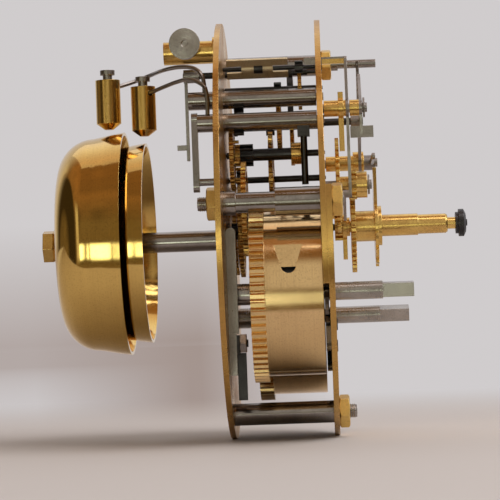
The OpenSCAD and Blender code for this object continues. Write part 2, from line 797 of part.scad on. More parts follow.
module pin_wheel() {
    color(brass) {
        at_arbor(pin_at, pin_wheel_x) rotate(pin_turn) crossed_wheel(pin_teeth, train_m, wheel_t, 4, 2.6);
        rod(pin_at, -9, -6.4, 3);
    }
    color(dark_steel) {
        rod(pin_at, shoulder_back_x, -19.5, arbor_r);
        rod(pin_at, -19.6, -7, 1.65);
        rod(pin_at, -7.1, shoulder_front_x, arbor_r);
        rod(pin_at, back_out_x + 0.1, pivot_proud, pivot_r);
        at_arbor(pin_at, -24.5) rotate(pin_turn) linear_extrude(5) pinion_2d(pin_pinion, strike_m);
    }
    color(steel) for (i = [0:lift_pins - 1])
        rod(polar(pin_at, lift_pin_ring_r, pin_turn + (i + 0.5) * 360 / lift_pins), pin_wheel_x + 0.2,
            pin_wheel_x + 2.7, lift_pin_r);
}

module gathering_wheel() {
    color(brass) at_arbor(gathering_at, gathering_x) rotate(gathering_turn)
        crossed_wheel(gathering_teeth, train_m, wheel_t, 4, 2.2);
    color(dark_steel) {
        rod(gathering_at, shoulder_back_x, shoulder_front_x, arbor_r + 0.25);
        rod(gathering_at, back_out_x + 0.1, shoulder_back_x + 0.1, pivot_r);
        rod(gathering_at, shoulder_front_x - 0.1, rack_x + lever_t + 0.4, gathering_front_r);
        at_arbor(gathering_at, pin_wheel_x - 0.4) rotate(gathering_turn)
            linear_extrude(wheel_t + 0.8) pinion_2d(gathering_pinion, train_m);
    }
}

pallet_sweep = 2.3;

// One finger that gathers a tooth of the rack at each turn
module gathering_pallet() {
    color(steel) difference() {
        union() {
            rod(gathering_at, rack_x - 2.2, rack_x + lever_t, 1.6);
            at_arbor(gathering_at, rack_x) linear_extrude(lever_t) bar_2d([0, 0], [-pallet_sweep, 0.4], 0.7);
        }
        rod(gathering_at, 0, 20, gathering_front_r);
    }
}

module warning_wheel() {
    color(brass) at_arbor(warning_at, warning_x) rotate(warning_turn)
        crossed_wheel(warning_teeth, fly_m, 1, 4, 1.7);
    color(dark_steel) {
        arbor(warning_at, r = 0.8);
        at_arbor(warning_at, gathering_x - 0.4) rotate(warning_turn)
            linear_extrude(wheel_t + 0.8) pinion_2d(warning_pinion, train_m);
    }
    color(steel) rod(polar(warning_at, 4.4, 200), warning_x + 0.2, warning_x + 1.8, 0.35);
}

fly_back_x = -25.8;
fly_front_x = -9.1;
fly_half_w = 4.2;
fly_arbor_r = 0.6;
fly_tilt = 31;

module fly_arbor() {
    color(dark_steel) {
        arbor(fly_at, r = fly_arbor_r);
        at_arbor(fly_at, warning_x - 0.6) rotate(fly_turn) linear_extrude(2.2) pinion_2d(fly_pinion, fly_m);
    }
    color(steel) rod(fly_at, fly_back_x + 7.4, fly_back_x + 9.8, 1.35);
}

// Two blades joined at their ends and middle round a window that shows the arbor
module fly() {
    long = fly_front_x - fly_back_x;
    color(pale_brass) at_arbor(fly_at, fly_back_x) rotate(-fly_tilt) difference() {
        union() {
            translate([-fly_half_w, -0.22, 0]) cube([2 * fly_half_w, 0.44, long]);
            cylinder(h = long, r = 1);
        }
        translate([0, 0, -1]) cylinder(h = long + 2, r = fly_arbor_r);
        for (cut = [[-1, 5], [7.4, 2.4], [12.6, 5]]) translate([-1.5, -2, cut[0]]) cube([3, 4, cut[1]]);
    }
}

// Hammers

head_a_x = -59.7;
head_b_x = -49.9;
head_top = [43.4, 41.2];
wire_a_path = [[-32, -16, 35], [-32.2, -15.6, 41], [-34.5, -13.6, 44.2], [-38.9, -10, 45.2], [-43.5, -6, 45],
    [-48, 2.4, 44.6], [-52.5, 4.6, 43.3], [head_a_x, 0, 40.7]];
wire_b_path = [[-31.2, -20, 28.5], [-31.2, -19.8, 36.2], [-32.6, -18.4, 39.4], [-38, -13.4, 41.2],
    [head_b_x, 0, 38.7]];
head_hole_r = wire_r + 0.17;

// Cylinder with a short cone below, drilled across for its wire
module hammer_head(x, top, path) {
    n = len(path);
    color(pale_brass) difference() {
        union() {
            translate([x, 0, top - head_h]) cylinder(h = head_h, r = head_r);
            translate([x, 0, top - head_h - 1.6]) cylinder(h = 1.65, r1 = 1.2, r2 = head_r);
        }
        drill(path[n - 1], path[n - 2], head_hole_r);
        translate([x, 0, top - 2.6]) cylinder(h = 3, r = 1.35);
    }
}

module hammer_screw(x, top) {
    color(steel) {
        translate([x, 0, top - 1.6]) cylinder(h = 3.2, r = 1.33);
        difference() {
            translate([x, 0, top + 1.5]) cylinder(h = 1.3, r = 2.05);
            translate([x - 3, -0.25, top + 2.2]) cube([6, 0.5, 2]);
        }
    }
}

module hammer_wire(path) {
    color(steel) wire(path, wire_r);
}

module hammer_head_a() {
    hammer_head(head_a_x, head_top[0], wire_a_path);
}

module hammer_head_b() {
    hammer_head(head_b_x, head_top[1], wire_b_path);
}

module hammer_screw_a() {
    hammer_screw(head_a_x, head_top[0]);
}

module hammer_screw_b() {
    hammer_screw(head_b_x, head_top[1]);
}

module hammer_wire_a() {
    hammer_wire(wire_a_path);
}

module hammer_wire_b() {
    hammer_wire(wire_b_path);
}

module hammer_arbor_a() {
    color(steel) difference() {
        union() {
            rod(hammer_a_at, -36.4, shoulder_front_x, hammer_arbor_r);
            rod(hammer_a_at, shoulder_front_x - 0.1, 0.3, hammer_pivot_r);
        }
        drill(wire_a_path[0], wire_a_path[0] + [0, 0, 2.4], wire_r + 0.1);
    }
}

lever_b_x = -35.6;

module hammer_arbor_b() {
    color(steel) difference() {
        union() {
            rod(hammer_b_at, -34, shoulder_front_x, hammer_arbor_r - 0.02);
            rod(hammer_b_at, shoulder_front_x - 0.1, 0.3, hammer_pivot_r);
            at_arbor(centre, lever_b_x) linear_extrude(1.7) lever_2d([hammer_b_at + [0, 1.2], [hammer_b_at.x, 11.5]], 3);
            rod([hammer_b_at.x, 12.6], lever_b_x + 1.6, lever_b_x + 6, 1);
        }
        drill(wire_b_path[0], wire_b_path[0] + [0, 0, 2.4], wire_r + 0.1);
    }
}

tail_x = -24.1;
tail_hub_r = hammer_arbor_r + 1.2;
saddle_from = 1;

// Saddle under a hammer arbor with the tail that the lifting pins push
module hammer_tail(p, reach) {
    a = dir_angle(p, pin_at);
    color(dark_steel) difference() {
        union() {
            at_arbor(p, tail_x) linear_extrude(2.6) rotate(a) intersection() {
                circle(tail_hub_r);
                translate([saddle_from, -tail_hub_r]) square(2 * tail_hub_r);
            }
            at_arbor(centre, tail_x) linear_extrude(0.8) bar_2d(p, polar(p, reach, a), 1.5);
        }
        rod(p, tail_x - 1, tail_x + 4, hammer_arbor_r);
    }
}

stop_rod_x = -5.4;
stop_rod_low_z = 11;
pin_edge_r = lift_pin_ring_r + lift_pin_r + 0.35;

module hammer_tail_a() {
    hammer_tail(hammer_a_at, norm(pin_at - hammer_a_at) - pin_edge_r);
}

// The second hammer's tail carries the stop rod that hangs from its arbor
module hammer_tail_b() {
    hammer_tail(hammer_b_at, norm(pin_at - hammer_b_at) - pin_edge_r);
    color(dark_steel) difference() {
        union() {
            at_arbor(hammer_b_at, stop_rod_x - 1.65) linear_extrude(3.3)
                translate([-1.8, -hammer_arbor_r - 2.1]) square([3.6, 3]);
            translate([stop_rod_x, hammer_b_at.x, stop_rod_low_z])
                cylinder(h = hammer_b_at.y - stop_rod_low_z - hammer_arbor_r - 0.3, r = 0.9);
        }
        rod(hammer_b_at, stop_rod_x - 3, stop_rod_x + 3, hammer_arbor_r);
    }
}

// Suspension

module suspension_post() {
    color(brass) {
        difference() {
            rod(post_at, -43.7, back_out_x - 1.5, 3.2);
            translate([-37.5, 0, post_at.y + 1.8]) rotate([90, 0, 0]) cylinder(h = 10, r = 1.2 + run_gap);
            translate([-44, -0.4, post_at.y - 5]) cube([4.6, 0.8, 10]);
        }
        rod(post_at, back_out_x - 1.6, back_out_x, 4.2);
        rod(post_at, back_out_x - 0.1, back_in_x, post_stud_r);
    }
}

module suspension_screw() {
    z = post_at.y + 1.8;
    color(steel) difference() {
        union() {
            translate([-37.5, -0.1, z]) rotate([90, 0, 0]) cylinder(h = 6, r = 1.2);
            translate([-37.5, -5.4, z]) rotate([90, 0, 0]) cylinder(h = 1.8, r = 4.3);
        }
        translate([-37.5, -6.9, z]) rotate([90, 0, 0]) cylinder(h = 1, r1 = 0.8, r2 = 1.2);
    }
}

// Steel strap inside the back plate, held by one stud that is riveted in the plate

strap_at = [-33, -31.2];
strap_w = 2.4;
strap_t = 2.6;
strap_foot_w = 3.4;
strap_foot_t = 2;
strap_top_z = -0.6;
strap_low_z = -39.6;
strap_stud_r = 1;
strap_nut_t = 1.8;
strap_nut_af = 4.8;
spring_t = 0.8;
spring_low_z = -46.2;

module strap_block(x0, t, w, z0, z1) {
    translate([x0, strap_at.x - w / 2, z0]) cube([t, w, z1 - z0]);
}

module back_strap() {
    color(steel) {
        difference() {
            union() {
                strap_block(back_in_x, strap_t, strap_w, strap_at.y + 2.6, strap_top_z - strap_t / 2);
                translate([back_in_x + strap_t / 2, strap_at.x - strap_w / 2, strap_top_z - strap_t / 2])
                    rotate([-90, 0, 0]) cylinder(h = strap_w, r = strap_t / 2);
                strap_block(back_in_x, strap_foot_t, strap_foot_w, strap_low_z, strap_at.y + 2.7);
            }
            rod(strap_at, back_in_x - 1, back_in_x + 4, strap_stud_r - 0.1);
        }
        rivet(strap_at, strap_stud_r);
        rod(strap_at, back_in_x, back_in_x + strap_foot_t + spring_t + strap_nut_t + 0.4, strap_stud_r);
    }
    strap_spring();
}

// Flat spring whose foot is clamped on the strap by the nut
module strap_spring() {
    x = back_in_x + strap_foot_t;
    color(dark_steel) difference() {
        union() {
            strap_block(x, spring_t, strap_foot_w, strap_at.y - 2.6, strap_at.y + 2.2);
            strap_block(x, 2.4, spring_t, spring_low_z, strap_at.y - 2.5);
        }
        rod(strap_at, x - 1, x + 3, strap_stud_r + 0.05);
    }
}

module strap_nut() {
    color(steel) at_arbor(strap_at, back_in_x + strap_foot_t + spring_t) difference() {
        cylinder(h = strap_nut_t, r = strap_nut_af / sqrt(3), $fn = 6);
        translate([0, 0, -1]) cylinder(h = strap_nut_t + 2, r = strap_stud_r + 0.02);
    }
}

// Bells

outer_rim_x = -55.3;
inner_rim_x = -49.4;

// Half section of a bell: flat crown, round shoulder and a skirt that opens a little to the rim
function bell_curve(r, h) = concat([[0, h]], [for (a = [90:-9:0]) [r - 11.5 + 10 * cos(a), h - 10 + 10 * sin(a)]],
    [[r - 0.5, (h - 10) * 0.4], [r, 0]]);

module bell(r, rim_x) {
    outer = bell_curve(r, bell_h);
    inner = bell_curve(r - bell_wall, bell_h - bell_wall);
    color(brass) at_arbor(bell_at, rim_x) mirror([0, 0, 1]) difference() {
        rotate_extrude($fn = 96) polygon(concat(outer, [[0, 0]]));
        rotate_extrude($fn = 96) polygon(concat(inner, [[r - bell_wall, -1], [0, -1]]));
        cylinder(h = bell_h + 2, r = bell_stud_r + 0.1);
    }
}

outer_crown_x = outer_rim_x - bell_h;
inner_crown_x = inner_rim_x - bell_h;
bolt_x = outer_crown_x - 2.4;

module bell_post() {
    color(steel) {
        rod(bell_at, back_out_x - 0.1, back_in_x, bell_stud_r);
        rod(bell_at, inner_crown_x + bell_wall, back_out_x, bell_post_r);
        rod(bell_at, bolt_x - 1, inner_crown_x + bell_wall + 0.1, bell_stud_r);
    }
}

module bell_inner() {
    bell(inner_bell_r, inner_rim_x);
}

module bell_outer() {
    bell(outer_bell_r, outer_rim_x);
}

// The domed washer behind the outer bell and the spacer between the bells
module bell_washer() {
    color(pale_brass) {
        tube(bell_at, outer_crown_x + bell_wall, inner_crown_x, 3, bell_stud_r + 0.1);
        difference() {
            union() {
                at_arbor(bell_at, outer_crown_x - 1.2) cylinder(h = 1.2, r = 6.6);
                at_arbor(bell_at, bolt_x) cylinder(h = outer_crown_x - 1.2 - bolt_x, r1 = 4.2, r2 = 6.6);
            }
            rod(bell_at, bolt_x - 1, outer_crown_x + 1, bell_stud_r + 0.1);
        }
    }
}

module bell_bolt() {
    color(steel) at_arbor(bell_at, bolt_x - 2.8) difference() {
        rotate(11) cylinder(h = 2.8, r = nut_af / sqrt(3), $fn = 6);
        translate([0, 0, 1.7]) cylinder(h = 2, r = bell_stud_r + 0.02);
    }
}

// Strike levers in front of the plates

rack_tip_r = norm(rack_at - gathering_at) - pallet_sweep - 0.4;
rack_teeth = 14;
rack_start = 122.4;
rack_tooth_angle = 3.4;
rack_hub_r = 2.2;
rack_boss_r = 3.3;
tail_tip = [0, snail_high_r + 3];

module rack() {
    span = rack_teeth * rack_tooth_angle;
    inner_r = rack_tip_r - 3;
    color(steel) difference() {
        union() {
            at_arbor(rack_at, rack_x) linear_extrude(lever_t) union() {
                polygon(concat(
                    [for (i = [0:rack_teeth - 1], q = [[0, -1], [0.9, 0]])
                        polar([0, 0], rack_tip_r + q[1], rack_start + (i + q[0]) * rack_tooth_angle)],
                    [for (a = [span:-rack_tooth_angle:0]) polar([0, 0], inner_r, rack_start + a)]));
                bar_2d([0, 0], polar([0, 0], inner_r + 0.6, rack_start + 6), 2.2);
                bar_2d([0, 0], polar([0, 0], inner_r + 0.6, rack_start + span - 12), 2.2);
            }
            rod(rack_at, 0.3, snail_x + lever_t, rack_hub_r);
            rod(rack_at, rack_x - 1.6, rack_x + 1.5, rack_boss_r);
            at_arbor(centre, snail_x) linear_extrude(lever_t) lever_2d([rack_at, tail_tip], 1.7);
        }
        rod(rack_at, -1, snail_x + 3, lever_stud_r + run_gap);
    }
}

module rack_hook() {
    nose = polar(rack_at, rack_tip_r + 0.5, 158);
    knee = [-8, 40.5];
    tab_low = [hook_at.x + 0.6, 24];
    tab_from = lifting_x + lever_t + 0.2;
    color(steel) difference() {
        union() {
            at_arbor(centre, rack_x) linear_extrude(lever_t) {
                difference() {
                    lever_2d([hook_at, knee, nose], 2);
                    translate(rack_at) circle(rack_tip_r + 0.35, $fn = 128);
                }
                bar_2d(hook_at, tab_low, 2.4);
            }
            rod(hook_at, lifting_x + lever_t + 0.2, rack_x + lever_t, rack_hub_r);
            translate([tab_from, tab_low.x - 1.2, tab_low.y - 1]) cube([6.2, 0.8, 3.1]);
        }
        rod(hook_at, 0, rack_x + 3, lever_stud_r + run_gap);
    }
}

lever_bend = [-19.8, 8];

// Bell-crank lever: its tail rests beside the cam and its tab passes through the plate to the warning wheel
module lifting_lever() {
    color(steel) difference() {
        union() {
            at_arbor(centre, lifting_x) linear_extrude(lever_t) {
                lever_2d([tab_at, hook_at, lever_bend], 1.9);
                translate(hook_at) circle(2.6);
            }
            at_arbor(centre, cam_x + 0.35) linear_extrude(lever_t) lever_2d([lever_bend, [-11, 2.2]], 1.9);
            at_arbor(lever_bend, cam_x + 0.35) cylinder(h = lifting_x - cam_x, r = 1.02);
            rod(hook_at, 0.3, lifting_x + 0.1, rack_hub_r);
            translate([warning_x + 2, tab_at.x - 0.4, tab_at.y - 1]) cube([lifting_x - warning_x - 1.9, 0.8, 1.9]);
        }
        rod(hook_at, -1, lifting_x + 3, lever_stud_r + run_gap);
    }
    lifting_arm();
}

// Brass arm on the lifting lever's pipe
module lifting_arm() {
    color(brass) at_arbor(hook_at, cam_x - 0.1) linear_extrude(1.4) difference() {
        union() {
            circle(2.9);
            translate([-1.3, 0]) square([2.6, 4.3]);
            translate([-0.8, -11.6]) square([1.6, 11]);
        }
        circle(rack_hub_r);
    }
}

minute_hub_end = 11.3;
clip_t = 0.5;
stud_ends = [[minute_at, minute_hub_end], [hook_at, rack_x + lever_t], [rack_at, snail_x + lever_t]];

// Studs of the front levers, each with the clip that holds its lever on
module front_studs() {
    color(steel) for (s = stud_ends) {
        rod(s[0], front_in_x, s[1] + 1.3, lever_stud_r);
        at_arbor(s[0], s[1] + 0.2) linear_extrude(clip_t) difference() {
            circle(2.7);
            rotate(200) translate([lever_stud_r, -0.8]) square([4, 1.6]);
        }
    }
}

back_plate();
front_plate();
barrel_plate();
pillar_middle();
pillars();
pillar_nuts();
barrel_time();
barrel_cap_time();
mainspring_time();
barrel_arbor_time();
ratchet_time();
click_time();
barrel_strike();
barrel_cap_strike();
mainspring_strike();
barrel_arbor_strike();
ratchet_strike();
click_strike();
click_springs();
click_screws();
second_wheel_time();
centre_wheel();
third_wheel();
escape_wheel();
anchor();
crutch();
cannon_pinion();
minute_wheel();
hour_wheel();
snail();
hand_nut();
second_wheel_strike();
pin_wheel();
gathering_wheel();
gathering_pallet();
warning_wheel();
fly_arbor();
fly();
hammer_arbor_a();
hammer_wire_a();
hammer_head_a();
hammer_screw_a();
hammer_tail_a();
hammer_arbor_b();
hammer_wire_b();
hammer_head_b();
hammer_screw_b();
hammer_tail_b();
back_strap();
suspension_post();
suspension_screw();
bell_post();
bell_inner();
bell_outer();
bell_washer();
bell_bolt();
rack();
rack_hook();
lifting_lever();
front_studs();
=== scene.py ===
"""Looks of a striking clock movement: its plates, pillars, two spring trains, two bells and their hammers."""

import json
import math
from typing import NamedTuple

import bmesh
import bpy
from mathutils import Matrix, Vector


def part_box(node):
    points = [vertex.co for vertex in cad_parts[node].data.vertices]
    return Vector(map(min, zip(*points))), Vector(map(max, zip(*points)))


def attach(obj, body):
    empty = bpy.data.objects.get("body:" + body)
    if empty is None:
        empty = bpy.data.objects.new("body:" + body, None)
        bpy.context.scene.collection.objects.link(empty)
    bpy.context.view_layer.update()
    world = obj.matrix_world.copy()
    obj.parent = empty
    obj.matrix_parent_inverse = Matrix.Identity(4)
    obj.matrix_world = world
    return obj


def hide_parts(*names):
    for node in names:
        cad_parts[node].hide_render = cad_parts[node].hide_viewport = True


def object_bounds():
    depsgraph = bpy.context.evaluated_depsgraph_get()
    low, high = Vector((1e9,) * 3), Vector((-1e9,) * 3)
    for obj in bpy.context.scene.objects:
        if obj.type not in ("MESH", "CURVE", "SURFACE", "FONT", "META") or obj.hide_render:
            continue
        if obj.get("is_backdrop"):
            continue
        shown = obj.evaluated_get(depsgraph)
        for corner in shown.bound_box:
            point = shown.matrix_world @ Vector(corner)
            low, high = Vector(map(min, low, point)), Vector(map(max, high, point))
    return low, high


bl_info = {
    "name": "Striking clock movement",
    "version": (1, 0, 0),
    "blender": (4, 5, 0),
    "location": "View3D > Sidebar > Movement",
    "description": "Finishes and fine pieces of a two-train clock movement on its packed frame",
    "category": "Object",
}

MM = 0.001
SAME_POINT = 0.002 * MM
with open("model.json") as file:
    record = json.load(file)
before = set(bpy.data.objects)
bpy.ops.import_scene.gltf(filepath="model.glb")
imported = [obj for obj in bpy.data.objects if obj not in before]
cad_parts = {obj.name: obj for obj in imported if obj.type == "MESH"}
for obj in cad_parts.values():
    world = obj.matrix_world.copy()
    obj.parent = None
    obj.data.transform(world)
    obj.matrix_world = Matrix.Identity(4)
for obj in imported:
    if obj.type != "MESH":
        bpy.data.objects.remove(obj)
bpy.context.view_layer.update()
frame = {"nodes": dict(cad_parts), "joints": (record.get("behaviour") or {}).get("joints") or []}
nodes = frame["nodes"]


# Places on the CAD nodes


def across(node, axis):
    """The lowest and highest value of a node along one axis, in metres."""
    low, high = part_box(node)
    return low[axis], high[axis]


def middle(node):
    """The centre of a node's box, in metres."""
    low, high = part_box(node)
    return (low + high) / 2


def axis_of(node):
    """The Y and Z of a turned node's axis."""
    at = middle(node)
    return round(at.y, 4), round(at.z, 4)


def pivot(joint):
    """The Y and Z of a joint's axis."""
    place = next(item["pos_m"] for item in frame["joints"] if item["name"] == joint)
    return round(place[1], 4), round(place[2], 4)


def mesh_of(node):
    """A CAD node's shape as a mesh of its own, with its faces joined at their corners."""
    bm = bmesh.new()
    bm.from_mesh(nodes[node].data)
    bm.transform(nodes[node].matrix_world)
    bmesh.ops.remove_doubles(bm, verts=bm.verts, dist=SAME_POINT)
    return bm


def solids(node):
    """The separate solids of a CAD node, each as its list of points in metres, from the lowest X up."""
    bm = mesh_of(node)
    left = set(bm.verts)
    found = []
    # The points are gone through in the mesh's order, because a set's own order changes from run to run.
    for first in bm.verts:
        if first not in left:
            continue
        left.remove(first)
        front = [first]
        points = []
        while front:
            vert = front.pop()
            points.append(vert.co.copy())
            for edge in vert.link_edges:
                other = edge.other_vert(vert)
                if other in left:
                    left.remove(other)
                    front.append(other)
        found.append(points)
    bm.free()
    return sorted(found, key=lambda points: tuple(round(low, 5) for low in extent(points)[0]))


def extent(points):
    """The lowest and highest corner of some points."""
    return (Vector([min(p[axis] for p in points) for axis in range(3)]),
            Vector([max(p[axis] for p in points) for axis in range(3)]))


def reach_from(at, point):
    """How far a point lies from an axis along X through at."""
    return math.hypot(point.y - at.y, point.z - at.z)


def widest_layer(node):
    """From where to where along X a wheel's rim lies, found from the points furthest from its axis."""
    at = middle(node)
    points = [p for solid in solids(node) for p in solid]
    rim_from = 0.8 * max(reach_from(at, p) for p in points)
    rim = [p.x for p in points if reach_from(at, p) > rim_from]
    return min(rim), max(rim)


# Sizes and colours


def length(name, description, default, low, high):
    """A length property, given in millimetres."""
    return bpy.props.FloatProperty(
        name=name, description=description, default=default * MM, min=low * MM, max=high * MM,
        unit="LENGTH", precision=5)


def tint(name, description, default, brightest=1.0):
    """A colour property."""
    return bpy.props.FloatVectorProperty(
        name=name, description=description, default=default, subtype="COLOR", size=3, min=0, max=brightest)


class MovementSizes(bpy.types.PropertyGroup):
    """Sizes of the fine work on the movement."""

    edge_softness: length("Edge softness", "Radius to which worn edges look rounded", 0.15, 0.0, 1.0)
    thread_pitch: length("Thread pitch", "Distance from crest to crest on the pillar studs", 0.5, 0.2, 1.0)
    thread_depth: length("Thread depth", "Depth of the thread below its crest", 0.16, 0.05, 0.4)
    thread_proud: length("Thread rise", "How far the crests stand out from the studs", 0.16, 0.05, 0.4)
    floor_gap: length("Floor gap", "Clearance between the plates' rims and the table", 0.05, 0.0, 1.0)
    nut_bevel: bpy.props.FloatProperty(
        name="Nut bevel", description="Slope of the turned bevel on the nuts, as rise over run",
        default=0.55, min=0.2, max=1.2)


class MovementColours(bpy.types.PropertyGroup):
    """Colours of the metals and of the studio."""

    plate_brass: tint("Plate brass", "Rolled brass of the plates and wheels", (0.66, 0.40, 0.12))
    bell_brass: tint("Bell brass", "Yellow brass of the bells, nuts and turned pieces", (0.84, 0.57, 0.18))
    drum_brass: tint("Drum brass", "Satin brass of the spring barrels", (0.88, 0.62, 0.31))
    pale_brass: tint("Pale brass", "Light sheet brass of the fly and the click springs", (0.90, 0.78, 0.52))
    tarnish: tint("Tarnish", "Brown film on old brass", (0.42, 0.20, 0.07))
    bright_steel: tint("Bright steel", "Turned steel of the winding arbors and thumb screw", (0.48, 0.45, 0.42))
    dull_steel: tint("Dull steel", "Oiled steel of the pillars, tubes and levers", (0.36, 0.33, 0.31))
    black_steel: tint("Black steel", "Hardened steel of the pinions and springs", (0.07, 0.068, 0.07))

    table: tint("Table", "Pale table top", (0.60, 0.575, 0.56))
    backdrop: tint("Backdrop", "Pale backdrop", (0.63, 0.605, 0.61))
    # Painted shadow: the brown tone painted on the far table and the backdrop left of the part, where the
    # photo's shadow falls
    painted_shadow: tint("Shade", "Brown shade at the left of the table and backdrop", (0.345, 0.27, 0.24))
    room: tint("Room", "Dim room that the metals mirror", (0.20, 0.145, 0.075))
    room_top: tint("Room top", "Warm ceiling that the metals mirror", (0.40, 0.20, 0.08))
    room_strip: tint("Room strip", "Pale upright strip at the left of the mirrored room", (0.66, 0.58, 0.42))
    room_wall: tint("Room wall", "Pale wall in the middle of the mirrored room", (0.60, 0.55, 0.47))
    window: tint("Window", "Light of the window in the mirrored room", (3.4, 3.7, 3.0), 10.0)


def sizes():
    return bpy.context.scene.movement_sizes


def colours():
    return bpy.context.scene.movement_colours


def opaque(colour, share=1.0):
    """A colour with full alpha, made darker or lighter by a share."""
    return (colour[0] * share, colour[1] * share, colour[2] * share, 1.0)


# Shader nodes


def feed(tree, socket, value):
    """Sets a socket to a value, or links it to the socket that feeds it."""
    if isinstance(value, bpy.types.NodeSocket):
        tree.links.new(value, socket)
    else:
        socket.default_value = value


def put(tree, kind, **inputs):
    """A node of that kind in the tree. Inputs go by name, or by number as _0 and so on."""
    node = tree.nodes.new(kind)
    for name, value in inputs.items():
        key = int(name[1:]) if name[0] == "_" and name[1:].isdigit() else name.replace("_", " ")
        feed(tree, node.inputs[key], value)
    return node


def use_group(tree, group, **inputs):
    """A node that holds a group, with its inputs by name."""
    node = tree.nodes.new("ShaderNodeGroup")
    node.node_tree = group
    for name, value in inputs.items():
        feed(tree, node.inputs[name], value)
    return node


def maths(tree, operation, first, second=0.5, clamp=False):
    node = put(tree, "ShaderNodeMath", _0=first, _1=second)
    node.operation = operation
    node.use_clamp = clamp
    return node.outputs[0]


def product(tree, first, second):
    return maths(tree, "MULTIPLY", first, second)


def spread(tree, value, low, high, to_low=0.0, to_high=1.0):
    """The value mapped from one range onto another, and kept inside it."""
    node = put(tree, "ShaderNodeMapRange", Value=value, From_Min=low, From_Max=high,
               To_Min=to_low, To_Max=to_high)
    return node.outputs["Result"]


def glide(tree, value, low, high):
    """The value mapped from low and high to 0 and 1, with a soft start and end."""
    node = put(tree, "ShaderNodeMapRange", Value=value, From_Min=low, From_Max=high)
    node.interpolation_type = "SMOOTHSTEP"
    return node.outputs["Result"]


def near(tree, value, centre, outside, inside):
    """1 where the value lies within the distance inside of the centre, 0 beyond the distance outside."""
    away = maths(tree, "ABSOLUTE", maths(tree, "SUBTRACT", value, centre))
    return spread(tree, away, outside, inside)


def blend_colours(tree, amount, first, second):
    node = tree.nodes.new("ShaderNodeMix")
    node.data_type = "RGBA"
    for index, value in ((0, amount), (6, first), (7, second)):
        feed(tree, node.inputs[index], value)
    return node.outputs[2]


def noise(tree, vector, scale, detail, roughness=0.5):
    node = put(tree, "ShaderNodeTexNoise", Vector=vector, Scale=scale, Detail=detail, Roughness=roughness)
    return node.outputs[0]


def object_place(tree):
    """The socket with the piece's own coordinates."""
    return put(tree, "ShaderNodeTexCoord").outputs["Object"]


# Node groups shared by the metals

FLOAT = "NodeSocketFloat"
VECTOR = "NodeSocketVector"


def node_group(name, inputs, outputs):
    """An empty shader group with named sockets, and its tree, input node and output node."""
    group = bpy.data.node_groups.new(name, "ShaderNodeTree")
    for label, kind, default in inputs:
        socket = group.interface.new_socket(name=label, in_out="INPUT", socket_type=kind)
        if default is not None:
            socket.default_value = default
    for label, kind in outputs:
        group.interface.new_socket(name=label, in_out="OUTPUT", socket_type=kind)
    return group, group.nodes.new("NodeGroupInput"), group.nodes.new("NodeGroupOutput")


def rubbed_edges_group():
    """Where handling has rubbed an edge bright, and the softened normal there."""
    if "Rubbed edges" in bpy.data.node_groups:
        return bpy.data.node_groups["Rubbed edges"]
    group, given, out = node_group(
        "Rubbed edges", [("Vector", VECTOR, None), ("Radius", FLOAT, 0.00015)],
        [("Mask", FLOAT), ("Normal", VECTOR)])
    soft = put(group, "ShaderNodeBevel", Radius=given.outputs["Radius"])
    soft.samples = 4
    flat = group.nodes.new("ShaderNodeNewGeometry")
    facing = put(group, "ShaderNodeVectorMath", _0=soft.outputs[0], _1=flat.outputs["Normal"])
    facing.operation = "DOT_PRODUCT"
    turned = maths(group, "SUBTRACT", 1.0, facing.outputs["Value"])
    broken = spread(group, noise(group, given.outputs["Vector"], 900.0, 3.0), 0.3, 0.6)
    worn = maths(group, "MULTIPLY", product(group, turned, 9.0), broken, clamp=True)
    group.links.new(worn, out.inputs["Mask"])
    group.links.new(soft.outputs[0], out.inputs["Normal"])
    return group


def turning_lines_group():
    """Fine rings left by the lathe, round the X axis of the given vector."""
    if "Turning lines" in bpy.data.node_groups:
        return bpy.data.node_groups["Turning lines"]
    group, given, out = node_group(
        "Turning lines", [("Vector", VECTOR, None), ("Fineness", FLOAT, 4200.0)], [("Lines", FLOAT)])
    parts = put(group, "ShaderNodeSeparateXYZ", Vector=given.outputs["Vector"])
    flat = put(group, "ShaderNodeCombineXYZ", Y=parts.outputs["Y"], Z=parts.outputs["Z"])
    reach = put(group, "ShaderNodeVectorMath", _0=flat.outputs[0])
    reach.operation = "LENGTH"
    cut = put(group, "ShaderNodeCombineXYZ",
              X=product(group, parts.outputs["X"], given.outputs["Fineness"]),
              Y=product(group, reach.outputs["Value"], given.outputs["Fineness"]))
    group.links.new(noise(group, cut.outputs[0], 1.0, 3.0, 0.65), out.inputs["Lines"])
    return group


def handling_group():
    """Slow clouds of tarnish and fine specks, from the piece's own coordinates."""
    if "Handling" in bpy.data.node_groups:
        return bpy.data.node_groups["Handling"]
    group, given, out = node_group(
        "Handling", [("Vector", VECTOR, None), ("Size", FLOAT, 120.0)], [("Clouds", FLOAT), ("Specks", FLOAT)])
    clouds = noise(group, given.outputs["Vector"], given.outputs["Size"], 5.0, 0.6)
    specks = noise(group, given.outputs["Vector"], 2600.0, 2.0)
    group.links.new(spread(group, clouds, 0.38, 0.68), out.inputs["Clouds"])
    group.links.new(spread(group, specks, 0.52, 0.78), out.inputs["Specks"])
    return group


# Metals


class Finish(NamedTuple):
    """How one finish is laid on a metal."""

    tone: str  # its colour's name in MovementColours
    film: float  # share of tarnish in its clouds, 0 on steel
    rough: tuple  # lowest and highest roughness
    lines: str  # "turned", "brushed" or "plain"
    depth: float  # depth of the lines in metres
    clouds: float  # clouds per metre
    stretch: tuple = (1, 1, 1)  # brushed lines per metre along X, Y and Z
    fineness: float = 4200.0  # turned lines per metre
    metallic: float = 1.0


